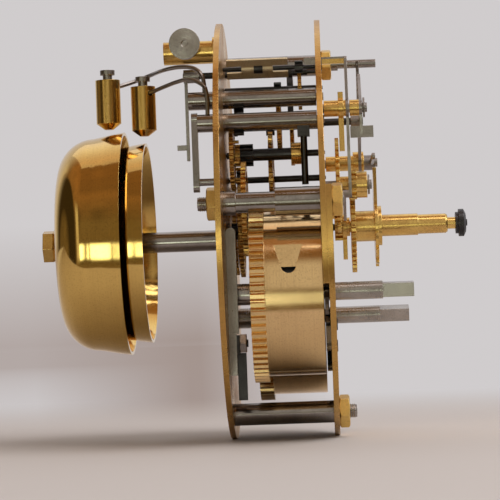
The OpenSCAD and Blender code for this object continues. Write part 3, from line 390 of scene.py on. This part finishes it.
FINISHES = {
    "Plate brass": Finish("plate_brass", 0.45, (0.22, 0.40), "brushed", 6e-6, 60.0, (260, 260, 2600)),
    "Wheel brass": Finish("plate_brass", 0.40, (0.20, 0.36), "turned", 6e-6, 140.0),
    "Turned brass": Finish("bell_brass", 0.45, (0.17, 0.28), "turned", 5e-6, 200.0),
    "Nut brass": Finish("bell_brass", 0.14, (0.28, 0.40), "plain", 5e-6, 200.0),
    "Bell brass": Finish("bell_brass", 0.16, (0.06, 0.13), "turned", 0.5e-6, 40.0),
    "Drum brass": Finish("drum_brass", 0.12, (0.11, 0.18), "turned", 1.2e-6, 70.0),
    "Pale brass": Finish("pale_brass", 0.06, (0.34, 0.50), "brushed", 5e-6, 130.0, (2600, 300, 300),
                         metallic=0.45),
    "Turned steel": Finish("bright_steel", 0.0, (0.16, 0.30), "turned", 5e-6, 120.0),
    "Faced steel": Finish("bright_steel", 0.0, (0.16, 0.26), "turned", 6e-5, 60.0, fineness=1300.0),
    "Dull steel": Finish("dull_steel", 0.0, (0.10, 0.20), "turned", 4e-6, 120.0),
    "Ground steel": Finish("dull_steel", 0.0, (0.26, 0.42), "brushed", 6e-6, 110.0, (2400, 240, 240)),
    "Black steel": Finish("black_steel", 0.0, (0.28, 0.44), "turned", 5e-6, 160.0),
    "Spring steel": Finish("black_steel", 0.0, (0.32, 0.50), "plain", 5e-6, 150.0),
}


def metal(tree, kind, marks, handled):
    """Three sockets of one metal: its colour with tarnish, specks and lines, where rubbed, its roughness."""
    look = FINISHES[kind]
    colour = opaque(getattr(colours(), look.tone))
    clouded = opaque(colour, 0.72)
    if look.film:
        clouded = opaque([c * (1 - look.film) + t * look.film for c, t in zip(colour, colours().tarnish)])
    dark = opaque(clouded, 0.55)
    toned = blend_colours(tree, handled.outputs["Clouds"], colour, clouded)
    specked = blend_colours(tree, product(tree, handled.outputs["Specks"], 0.5), toned, dark)
    lined = blend_colours(tree, spread(tree, marks, 0.35, 0.75, 0.0, 0.22), specked, dark)
    bright = opaque([min(1.0, c * 1.25 + 0.04) for c in colour[:3]])
    rubbed = blend_colours(tree, handled.outputs["Specks"], bright, colour)
    uneven = maths(tree, "ADD", handled.outputs["Clouds"], marks)
    return lined, rubbed, spread(tree, uneven, 0.4, 1.5, *look.rough)


def turned_place(tree, centre, axis):
    """Object coordinates laid so that the lathe's axis through centre is their X axis."""
    shift, turn = (0.0, 0.0, 0.0), (0.0, 0.0, 0.0)
    if centre is not None and axis == "X":
        shift = (0.0, -centre[0], -centre[1])
    elif centre is not None:
        shift, turn = (0.0, centre[0], -centre[1]), (0.0, 0.0, -math.pi / 2)
    return put(tree, "ShaderNodeMapping", Vector=object_place(tree), Location=shift, Rotation=turn).outputs[0]


def surface_marks(tree, look, laid):
    """The height of the lines that the tool left."""
    if look.lines == "turned":
        return use_group(tree, turning_lines_group(), Vector=laid, Fineness=look.fineness).outputs["Lines"]
    if look.lines == "brushed":
        drawn = put(tree, "ShaderNodeMapping", Vector=object_place(tree), Scale=look.stretch)
        return noise(tree, drawn.outputs[0], 1.0, 4.0, 0.6)
    return noise(tree, laid, 1800.0, 4.0, 0.6)


def inside_layer(tree, laid, low, high, reach):
    """1 between low and high along the axis and within reach of it, else 0."""
    parts = put(tree, "ShaderNodeSeparateXYZ", Vector=laid)
    x, y, z = (parts.outputs[axis] for axis in "XYZ")
    along = product(tree, maths(tree, "GREATER_THAN", x, low), maths(tree, "LESS_THAN", x, high))
    out = maths(tree, "ADD", maths(tree, "POWER", y, 2.0), maths(tree, "POWER", z, 2.0))
    return product(tree, along, maths(tree, "LESS_THAN", out, reach * reach))


def finish(kind, centre=None, layers=(), axis="X"):
    """The named finish, with its lathe lines round an axis through centre: (Y, Z) along X, or (X, Z) along Y.

    Each layer is a second finish, the X where it begins and ends, and how far it reaches from the axis.
    """
    name = kind if centre is None else f"{kind} {centre[0] / MM:.1f} {centre[1] / MM:.1f}"
    for other, low, high, _ in layers:
        name += f" {other} {low / MM:.1f} {high / MM:.1f}"
    if name in bpy.data.materials:
        return bpy.data.materials[name]
    look = FINISHES[kind]
    material = bpy.data.materials.new(name)
    material.use_nodes = True
    tree = material.node_tree
    shader = tree.nodes["Principled BSDF"]
    shader.inputs["Metallic"].default_value = look.metallic
    laid = turned_place(tree, centre, axis)
    marks = surface_marks(tree, look, laid)
    edges = use_group(tree, rubbed_edges_group(), Vector=object_place(tree), Radius=sizes().edge_softness)
    handled = use_group(tree, handling_group(), Vector=laid, Size=look.clouds)
    tone, rubbed, rough = metal(tree, kind, marks, handled)
    for other, low, high, reach in layers:
        inside = inside_layer(tree, laid, low, high, reach)
        tone_in, rubbed_in, rough_in = metal(tree, other, marks, handled)
        tone = blend_colours(tree, inside, tone, tone_in)
        rubbed = blend_colours(tree, inside, rubbed, rubbed_in)
        rougher = maths(tree, "SUBTRACT", rough_in, rough)
        rough = maths(tree, "ADD", rough, product(tree, inside, rougher))
    tree.links.new(blend_colours(tree, edges.outputs["Mask"], tone, rubbed), shader.inputs["Base Color"])
    tree.links.new(rough, shader.inputs["Roughness"])
    relief = put(tree, "ShaderNodeBump", Strength=1.0, Distance=look.depth, Height=marks,
                 Normal=edges.outputs["Normal"])
    tree.links.new(relief.outputs["Normal"], shader.inputs["Normal"])
    return material


def wear(name, material):
    """Gives a CAD node one material."""
    nodes[name].data.materials.clear()
    nodes[name].data.materials.append(material)


def dress(names, kind, centred=True, layers=()):
    """Gives CAD nodes a finish. Lathe lines go round each node's own axis, or round centred as (Y, Z)."""
    for name in names:
        centre = centred if isinstance(centred, tuple) else axis_of(name) if centred else None
        wear(name, finish(kind, centre, layers))


def dress_wheel(name, *more):
    """Black steel for a wheel's arbor and pinion, brass for the wheel itself and for more layers along X."""
    edge = 0.04 * MM
    everywhere = 1.0
    spans = (widest_layer(name), *more)
    layers = tuple(("Wheel brass", start - edge, end + edge, everywhere) for start, end in spans)
    dress([name], "Black steel", layers=layers)


# Pieces


def lathe(profile, steps, closed=False):
    """A shape of revolution round the X axis. The profile lists (x, radius) pairs, and may end on the axis."""
    # Built face by face, as the faces that bmesh.ops.spin makes come in an order that changes between runs.
    bm = bmesh.new()
    rings = []
    for x, radius in profile:
        turns = [math.tau * step / steps for step in range(steps if radius else 1)]
        rings.append([bm.verts.new((x, -radius * math.sin(turn), radius * math.cos(turn))) for turn in turns])
    if closed:
        rings.append(rings[0])
    for ring, following in zip(rings, rings[1:]):
        for step in range(steps):
            corners = (ring[step % len(ring)], ring[(step + 1) % len(ring)],
                       following[(step + 1) % len(following)], following[step % len(following)])
            bm.faces.new(list(dict.fromkeys(corners)))
    bmesh.ops.remove_doubles(bm, verts=bm.verts, dist=SAME_POINT / 4)
    bmesh.ops.recalc_face_normals(bm, faces=bm.faces)
    return bm


def joined(shapes):
    """One mesh from several, each given with the place it is moved to. The given ones are freed."""
    whole = bmesh.new()
    part = bpy.data.meshes.new("part")
    for bm, at in shapes:
        bmesh.ops.translate(bm, verts=bm.verts, vec=at)
        bm.to_mesh(part)
        bm.free()
        whole.from_mesh(part)
    bpy.data.meshes.remove(part)
    return whole


def finished(name, bm, body, material, slot, *replaced):
    """Makes an object of a mesh, in place on its body, in its finish."""
    for face in bm.faces:
        face.smooth = True
    mesh = bpy.data.meshes.new(name)
    bm.to_mesh(mesh)
    bm.free()
    mesh.set_sharp_from_angle(angle=math.radians(32))
    mesh.materials.append(material)
    piece = bpy.data.objects.new(name, mesh)
    bpy.context.scene.collection.objects.link(piece)
    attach(piece, body)
    if replaced:
        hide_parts(*replaced)
    return piece


def bevelled_nut(points):
    """A hexagon nut with both ends turned to a bevel, in the place of a plain one, and where its axis lies."""
    low, high = extent(points)
    at = Vector((0, (low.y + high.y) / 2, (low.z + high.z) / 2))
    far = max(points, key=lambda p: reach_from(at, p))
    first_corner = math.atan2(far.z - at.z, far.y - at.y)
    corner = reach_from(at, far)
    hole = min(reach_from(at, p) for p in points)
    half_flats = corner * math.sqrt(3) / 2
    end = half_flats * 0.97
    third = (high.x - low.x) / 3
    bm = lathe([(low.x, hole), (low.x, end), (low.x + third, corner), (high.x - third, corner), (high.x, end),
                (high.x, hole)], steps=72, closed=True)
    for vert in bm.verts:
        reach = math.hypot(vert.co.y, vert.co.z)
        if reach > end + 0.01 * MM:
            angle = math.atan2(vert.co.z, vert.co.y)
            side = (angle - first_corner) % (math.pi / 3) - math.pi / 6
            radius = half_flats / math.cos(side)
            rise = (radius - end) * sizes().nut_bevel
            vert.co.x = low.x + rise if vert.co.x < (low.x + high.x) / 2 else high.x - rise
            vert.co.y *= radius / reach
            vert.co.z *= radius / reach
    return bm, at


def threaded(low_x, high_x, radius, dome):
    """A stud's end round the X axis: thread from low_x on, then a low dome of the given height at high_x."""
    pitch = sizes().thread_pitch
    crests = max(2, round((high_x - dome - low_x) / pitch))
    pitch = (high_x - dome - low_x) / crests
    root = radius - sizes().thread_depth
    profile = [(low_x - pitch, 0.0), (low_x - pitch, root), (low_x, root)]
    for index in range(crests):
        start = low_x + index * pitch
        profile += [(start + 0.30 * pitch, radius), (start + 0.45 * pitch, radius),
                    (start + 0.80 * pitch, root), (start + pitch, root)]
    profile += [(high_x - 0.5 * dome, root - 0.25 * dome), (high_x, root * 0.55), (high_x, 0.0)]
    return lathe(profile, steps=40)


def thread_beyond(nut, stud):
    """The threaded end of a stud that stands out of its nut, and where its axis lies, or None."""
    widest_stud, longest_end = 4 * MM, 8 * MM
    low, high = extent(nut)
    at = (low + high) / 2
    at.x = 0
    way = 1 if low.x > -MM else -1
    start = high.x if way > 0 else -low.x
    beyond = [p for p in stud if p.x * way - start > 0.2 * MM and reach_from(at, p) < widest_stud]
    if not beyond:
        return None
    end = max(p.x * way for p in beyond)
    if end - start > longest_end:
        return None
    radius = max(reach_from(at, p) for p in beyond)
    bm = threaded(start, end + 0.1 * MM, radius + sizes().thread_proud, 0.4 * MM)
    if way < 0:
        bmesh.ops.rotate(bm, verts=bm.verts, cent=(0, 0, 0), matrix=Matrix.Rotation(math.pi, 3, "Z"))
    return bm, at


# Studio

# Each lamp's name, place, side, watts and colour. All of them face the origin.
LAMPS = (
    ("lamp_key", (0.62, -0.35, 0.85), 1.1, 9.8, (1.0, 0.985, 1.0)),
    ("lamp_top", (-0.10, 0.50, 0.95), 0.9, 1.0, (1.0, 0.98, 0.98)),
    ("lamp_side", (0.85, -0.30, 0.30), 0.6, 0.6, (1.0, 0.98, 0.96)),
)
EYE = (0, -0.663, -0.0298)
EYE_AHEAD = (-0.032677, 1.0, 0.036783)
EYE_ROLL = math.radians(2.1)
EYE_LENS_MM = 171.9
TABLE_HALF = 7.0
TABLE_MIDDLE_Y = 4.0
MIRRORED_FROM_Y = -0.12  # in front of this the metals mirror the room instead of the table


def table_material():
    """A pale cloth-like table that fades into the backdrop, with a painted brown shadow on its left."""
    material = bpy.data.materials.new("Pale table")
    material.use_nodes = True
    tree = material.node_tree
    shader = tree.nodes["Principled BSDF"]
    shader.inputs["Roughness"].default_value = 0.75
    place = object_place(tree)
    cloth = spread(tree, noise(tree, place, 30.0, 4.0), 0.3, 0.7, 0.0, 0.04)
    paper = opaque(colours().table)
    tree.links.new(blend_colours(tree, cloth, paper, opaque(paper, 0.9)), shader.inputs["Base Color"])

    # The painted shadow fans out to the left from a point in front of the part, and weakens towards its outer
    # side.
    fan_point = 0.66
    parts = put(tree, "ShaderNodeSeparateXYZ", Vector=place)
    depth = parts.outputs["Y"]
    aside = maths(tree, "DIVIDE", parts.outputs["X"], maths(tree, "ADD", depth, fan_point))
    receding = spread(tree, depth, 0.2, 2.4, 0.1, 0.7)
    fading = product(tree, spread(tree, aside, -0.06, -0.125), maths(tree, "SUBTRACT", 1.0, receding))
    painted_shadow_share = product(tree, spread(tree, aside, 0.0, -0.055, 0.0, 0.92), maths(tree, "SUBTRACT", 1.0, fading))
    tone = blend_colours(tree, painted_shadow_share, opaque(colours().backdrop), opaque(colours().painted_shadow))
    far = put(tree, "ShaderNodeEmission", Color=tone, Strength=1.0)
    faded = put(tree, "ShaderNodeMixShader", Fac=glide(tree, depth, 0.05, 0.5))
    tree.links.new(shader.outputs[0], faded.inputs[1])
    tree.links.new(far.outputs[0], faded.inputs[2])

    path = tree.nodes.new("ShaderNodeLightPath")
    beyond = product(tree, path.outputs["Is Glossy Ray"], maths(tree, "LESS_THAN", depth, MIRRORED_FROM_Y))
    ended = put(tree, "ShaderNodeMixShader", Fac=beyond)
    tree.links.new(faded.outputs[0], ended.inputs[1])
    tree.links.new(tree.nodes.new("ShaderNodeBsdfTransparent").outputs[0], ended.inputs[2])
    tree.links.new(ended.outputs[0], tree.nodes["Material Output"].inputs["Surface"])
    return material


def studio_world():
    """The pale backdrop behind the part, and the dim room in front of it that the metals mirror."""
    world = bpy.data.worlds.new("Studio")
    world.use_nodes = True
    tree = world.node_tree
    place = put(tree, "ShaderNodeTexCoord").outputs["Generated"]
    parts = put(tree, "ShaderNodeSeparateXYZ", Vector=place)
    x, y, z = (parts.outputs[axis] for axis in "XYZ")
    tones = colours()

    # X, Y and Z are the parts of a direction of length 1, so each patch below is placed by direction alone.
    room = blend_colours(tree, spread(tree, z, 0.35, 0.95), opaque(tones.room), opaque(tones.room_top))
    mottled = spread(tree, noise(tree, place, 2.2, 3.0), 0.40, 0.65, 0.0, 0.5)
    room = blend_colours(tree, mottled, room, opaque(tones.room, 0.3))
    corner = product(tree, spread(tree, x, -0.70, -0.73), spread(tree, x, -0.97, -0.92))
    room = blend_colours(tree, corner, room, opaque(tones.room, 0.22))
    strip = product(tree, near(tree, x, -0.61, 0.07, 0.04), near(tree, z, 0.15, 0.50, 0.35))
    room = blend_colours(tree, strip, room, opaque(tones.room_strip))
    wall = product(tree, near(tree, x, 0.06, 0.24, 0.10), near(tree, z, 0.38, 0.38, 0.24))
    room = blend_colours(tree, wall, room, opaque(tones.room_wall))
    panes = product(tree, near(tree, z, -0.15, 0.16, 0.10), near(tree, x, -0.1, 0.50, 0.40))
    panes = product(tree, panes, spread(tree, x, -0.04, -0.09, 0.20, 1.0))
    bars = maths(tree, "PINGPONG", maths(tree, "ADD", x, 2.0), 0.09)
    panes = product(tree, panes, spread(tree, bars, 0.008, 0.016))
    room = blend_colours(tree, panes, room, opaque(tones.window))

    # Painted shadow: the backdrop is darkened towards the brown shadow colour left of the part, near the
    # horizon, to continue the shadow painted on the table
    painted_shadow_share = product(tree, spread(tree, x, 0.0, -0.055), spread(tree, maths(tree, "ABSOLUTE", z), 0.05, 0.0))
    painted_shadow_share = product(tree, painted_shadow_share, spread(tree, x, -0.06, -0.125, 0.9, 0.66))
    pale = blend_colours(tree, painted_shadow_share, opaque(tones.backdrop), opaque(tones.painted_shadow))
    in_front = glide(tree, maths(tree, "ADD", y, product(tree, x, 0.35)), 0.60, 0.05)
    ground = tree.nodes["Background"]
    tree.links.new(blend_colours(tree, in_front, pale, room), ground.inputs["Color"])
    ground.inputs["Strength"].default_value = 1.0
    return world


def hang_lamp(name, at, side, watts, colour):
    light = bpy.data.lights.new(name, "AREA")
    light.shape = "SQUARE"
    light.size = side
    light.energy = watts
    light.color = colour
    lamp = bpy.data.objects.new(name, light)
    lamp.location = at
    lamp.rotation_euler = (-Vector(at)).to_track_quat("-Z", "Y").to_euler()
    bpy.context.scene.collection.objects.link(lamp)


def set_camera():
    eye = bpy.data.cameras.new("camera")
    eye.lens = EYE_LENS_MM
    eye.sensor_width = 36.0
    eye.clip_end = 20.0
    ahead = Vector(EYE_AHEAD).normalized()
    level = ahead.cross(Vector((0, 0, 1))).normalized()
    upright = level.cross(ahead)
    right = math.cos(EYE_ROLL) * level - math.sin(EYE_ROLL) * upright
    up = math.sin(EYE_ROLL) * level + math.cos(EYE_ROLL) * upright
    turn = Matrix((right, up, -ahead)).transposed()
    camera = bpy.data.objects.new("camera", eye)
    camera.matrix_world = Matrix.Translation(EYE) @ turn.to_4x4()
    bpy.context.scene.collection.objects.link(camera)
    bpy.context.scene.camera = camera


# Operators


class MOVEMENT_OT_stage(bpy.types.Operator):
    """Lay the pale table and backdrop, hang the lamps and set the camera"""

    bl_idname = "movement.stage"
    bl_label = "Stage"

    def execute(self, context):
        context.scene.view_settings.view_transform = "Standard"
        bm = bmesh.new()
        bmesh.ops.create_grid(bm, x_segments=1, y_segments=1, size=TABLE_HALF)
        floor_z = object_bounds()[0][2] - sizes().floor_gap
        bmesh.ops.translate(bm, verts=bm.verts, vec=(0, TABLE_MIDDLE_Y, floor_z))
        mesh = bpy.data.meshes.new("table_top")
        bm.to_mesh(mesh)
        bm.free()
        mesh.materials.append(table_material())
        table = bpy.data.objects.new("table_top", mesh)
        context.scene.collection.objects.link(table)
        table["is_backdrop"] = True
        context.scene.world = studio_world()
        for lamp in LAMPS:
            hang_lamp(*lamp)
        set_camera()
        return {"FINISHED"}


class MOVEMENT_OT_plates(bpy.types.Operator):
    """Finish the back plate, the front plate, the barrel plate and the strap in the back plate"""

    bl_idname = "movement.plates"
    bl_label = "Plates"

    def execute(self, context):
        dress(["back_plate", "front_plate", "barrel_plate"], "Plate brass", centred=False)
        spring_foot, spring_reach = (-33 * MM, -38 * MM), 9.5 * MM
        inside = across("back_plate", 0)[1]
        spring = ("Spring steel", inside + 2 * MM, inside + 6 * MM, spring_reach)
        dress(["back_strap"], "Ground steel", centred=spring_foot, layers=(spring,))
        return {"FINISHED"}


class MOVEMENT_OT_pillars(bpy.types.Operator):
    """Finish the four pillars, bevel their nuts and cut the threads on their studs"""

    bl_idname = "movement.pillars"
    bl_label = "Pillars and nuts"

    def execute(self, context):
        dress(["pillar_middle"], "Dull steel")
        dress(["pillars"], "Dull steel", centred=False)
        nuts = solids("pillar_nuts")
        clear, everywhere = 0.2 * MM, 1.0
        between = (across("back_plate", 0)[1] + clear, across("front_plate", 0)[0] - clear)
        brass = finish("Nut brass", layers=(("Ground steel", *between, everywhere),))
        bevelled = [bevelled_nut(nut) for nut in nuts]
        finished("bevelled_nuts", joined(bevelled), "plates", brass, "brass", "pillar_nuts")
        studs = [points for node in ("pillars", "pillar_middle") for points in solids(node)]
        ends = [thread_beyond(nut, stud) for nut in nuts for stud in studs]
        threads = joined([end for end in ends if end])
        finished("stud_threads", threads, "plates", finish("Dull steel"), "steel")
        return {"FINISHED"}


class MOVEMENT_OT_barrels(bpy.types.Operator):
    """Finish both spring barrels with their covers, springs and arbors"""

    bl_idname = "movement.barrels"
    bl_label = "Spring barrels"

    def execute(self, context):
        for train in ("time", "strike"):
            dress([f"barrel_{train}", f"barrel_cap_{train}"], "Drum brass")
            dress([f"mainspring_{train}"], "Spring steel")
            dress([f"barrel_arbor_{train}"], "Turned steel")
        return {"FINISHED"}


class MOVEMENT_OT_clickwork(bpy.types.Operator):
    """Finish the ratchets, clicks, click springs and their screws"""

    bl_idname = "movement.clickwork"
    bl_label = "Ratchets and clicks"

    def execute(self, context):
        clickwork = ["ratchet_time", "click_time", "ratchet_strike", "click_strike"]
        dress(clickwork, "Ground steel", centred=False)
        dress(["click_springs"], "Pale brass", centred=False)
        dress(["click_screws"], "Black steel", centred=False)
        return {"FINISHED"}


class MOVEMENT_OT_going_train(bpy.types.Operator):
    """Finish the wheels of the going train, the anchor and the crutch"""

    bl_idname = "movement.going_train"
    bl_label = "Going train"

    def execute(self, context):
        for name in ("second_wheel_time", "centre_wheel", "third_wheel", "escape_wheel"):
            dress_wheel(name)
        dress(["anchor"], "Black steel", centred=False)
        dress(["crutch"], "Ground steel", centred=False)
        return {"FINISHED"}


class MOVEMENT_OT_motion_work(bpy.types.Operator):
    """Finish the cannon pinion, minute wheel, hour wheel, snail and hand nut"""

    bl_idname = "movement.motion_work"
    bl_label = "Motion work"

    def execute(self, context):
        dress(["cannon_pinion", "minute_wheel", "hour_wheel", "snail"], "Turned brass")
        dress(["hand_nut"], "Black steel")
        return {"FINISHED"}


class MOVEMENT_OT_strike_train(bpy.types.Operator):
    """Finish the wheels of the strike train, its gathering pallet and the fly"""

    bl_idname = "movement.strike_train"
    bl_label = "Strike train"

    def execute(self, context):
        for name in ("second_wheel_strike", "gathering_wheel", "warning_wheel"):
            dress_wheel(name)
        pin_disc = (-9.0 * MM, -6.4 * MM)
        dress_wheel("pin_wheel", pin_disc)
        dress(["gathering_pallet"], "Ground steel", centred=False)
        dress(["fly_arbor"], "Black steel")
        dress(["fly"], "Pale brass", centred=False)
        return {"FINISHED"}


class MOVEMENT_OT_hammers(bpy.types.Operator):
    """Finish both hammers with their arbors, wires, heads, screws and tails"""

    bl_idname = "movement.hammers"
    bl_label = "Hammers"

    def execute(self, context):
        for side in ("a", "b"):
            dress([f"hammer_arbor_{side}"], "Dull steel")
            dress([f"hammer_wire_{side}", f"hammer_screw_{side}"], "Ground steel", centred=False)
            dress([f"hammer_head_{side}"], "Turned brass", centred=False)
            dress([f"hammer_tail_{side}"], "Black steel", centred=False)
        return {"FINISHED"}


class MOVEMENT_OT_suspension(bpy.types.Operator):
    """Finish the suspension post and its thumb screw"""

    bl_idname = "movement.suspension"
    bl_label = "Suspension"

    def execute(self, context):
        dress(["suspension_post"], "Turned brass")
        at = middle("suspension_screw")
        wear("suspension_screw", finish("Faced steel", (round(at.x, 4), round(at.z, 4)), axis="Y"))
        return {"FINISHED"}


class MOVEMENT_OT_bells(bpy.types.Operator):
    """Polish the two bells, and finish their post, washer and bolt"""

    bl_idname = "movement.bells"
    bl_label = "Bells"

    def execute(self, context):
        for name in ("bell_inner", "bell_outer"):
            bm = mesh_of(name)
            bmesh.ops.recalc_face_normals(bm, faces=bm.faces)
            finished(f"{name}_polished", bm, "plates", finish("Bell brass", axis_of(name)), "bell_brass", name)
        dress(["bell_post"], "Dull steel")
        dress(["bell_washer", "bell_bolt"], "Turned brass")
        return {"FINISHED"}


class MOVEMENT_OT_count_levers(bpy.types.Operator):
    """Finish the rack, rack hook and lifting lever, their brass hubs and their studs"""

    bl_idname = "movement.count_levers"
    bl_label = "Rack and levers"

    def execute(self, context):
        hub, brass_arm = 3.6 * MM, 14 * MM
        rack_hubs = (("Turned brass", 0.2 * MM, 9.75 * MM, hub), ("Turned brass", 10.65 * MM, 11.4 * MM, hub))
        dress(["rack"], "Ground steel", pivot("rack_swing"), rack_hubs)
        hook_hub = ("Turned brass", 7.1 * MM, 9.75 * MM, hub)
        dress(["rack_hook"], "Ground steel", pivot("rack_hook_swing"), (hook_hub,))
        pipe_and_arm = ("Turned brass", 0.2 * MM, 6.15 * MM, brass_arm)
        dress(["lifting_lever"], "Ground steel", pivot("lifting_swing"), (pipe_and_arm,))
        dress(["front_studs"], "Ground steel", centred=False)
        return {"FINISHED"}


class MOVEMENT_PT_panel(bpy.types.Panel):
    """The movement's sizes, colours and pieces"""

    bl_idname = "MOVEMENT_PT_panel"
    bl_label = "Clock movement"
    bl_space_type = "VIEW_3D"
    bl_region_type = "UI"
    bl_category = "Movement"

    def draw(self, context):
        layout = self.layout
        for group in (context.scene.movement_sizes, context.scene.movement_colours):
            for name in group.__annotations__:
                layout.prop(group, name)
        for operator in OPERATORS:
            layout.operator(operator.bl_idname)


OPERATORS = (
    MOVEMENT_OT_stage,
    MOVEMENT_OT_plates,
    MOVEMENT_OT_pillars,
    MOVEMENT_OT_barrels,
    MOVEMENT_OT_clickwork,
    MOVEMENT_OT_going_train,
    MOVEMENT_OT_motion_work,
    MOVEMENT_OT_strike_train,
    MOVEMENT_OT_hammers,
    MOVEMENT_OT_suspension,
    MOVEMENT_OT_bells,
    MOVEMENT_OT_count_levers,
)
CLASSES = (MovementSizes, MovementColours, *OPERATORS, MOVEMENT_PT_panel)


def register():
    for item in CLASSES:
        bpy.utils.register_class(item)
    bpy.types.Scene.movement_sizes = bpy.props.PointerProperty(type=MovementSizes)
    bpy.types.Scene.movement_colours = bpy.props.PointerProperty(type=MovementColours)


def unregister():
    del bpy.types.Scene.movement_colours
    del bpy.types.Scene.movement_sizes
    for item in reversed(CLASSES):
        bpy.utils.unregister_class(item)


def main():
    """Builds the whole movement."""
    register()
    for operator in OPERATORS:
        group, name = operator.bl_idname.split(".")
        getattr(getattr(bpy.ops, group), name)()


if __name__ == "__main__":
    main()
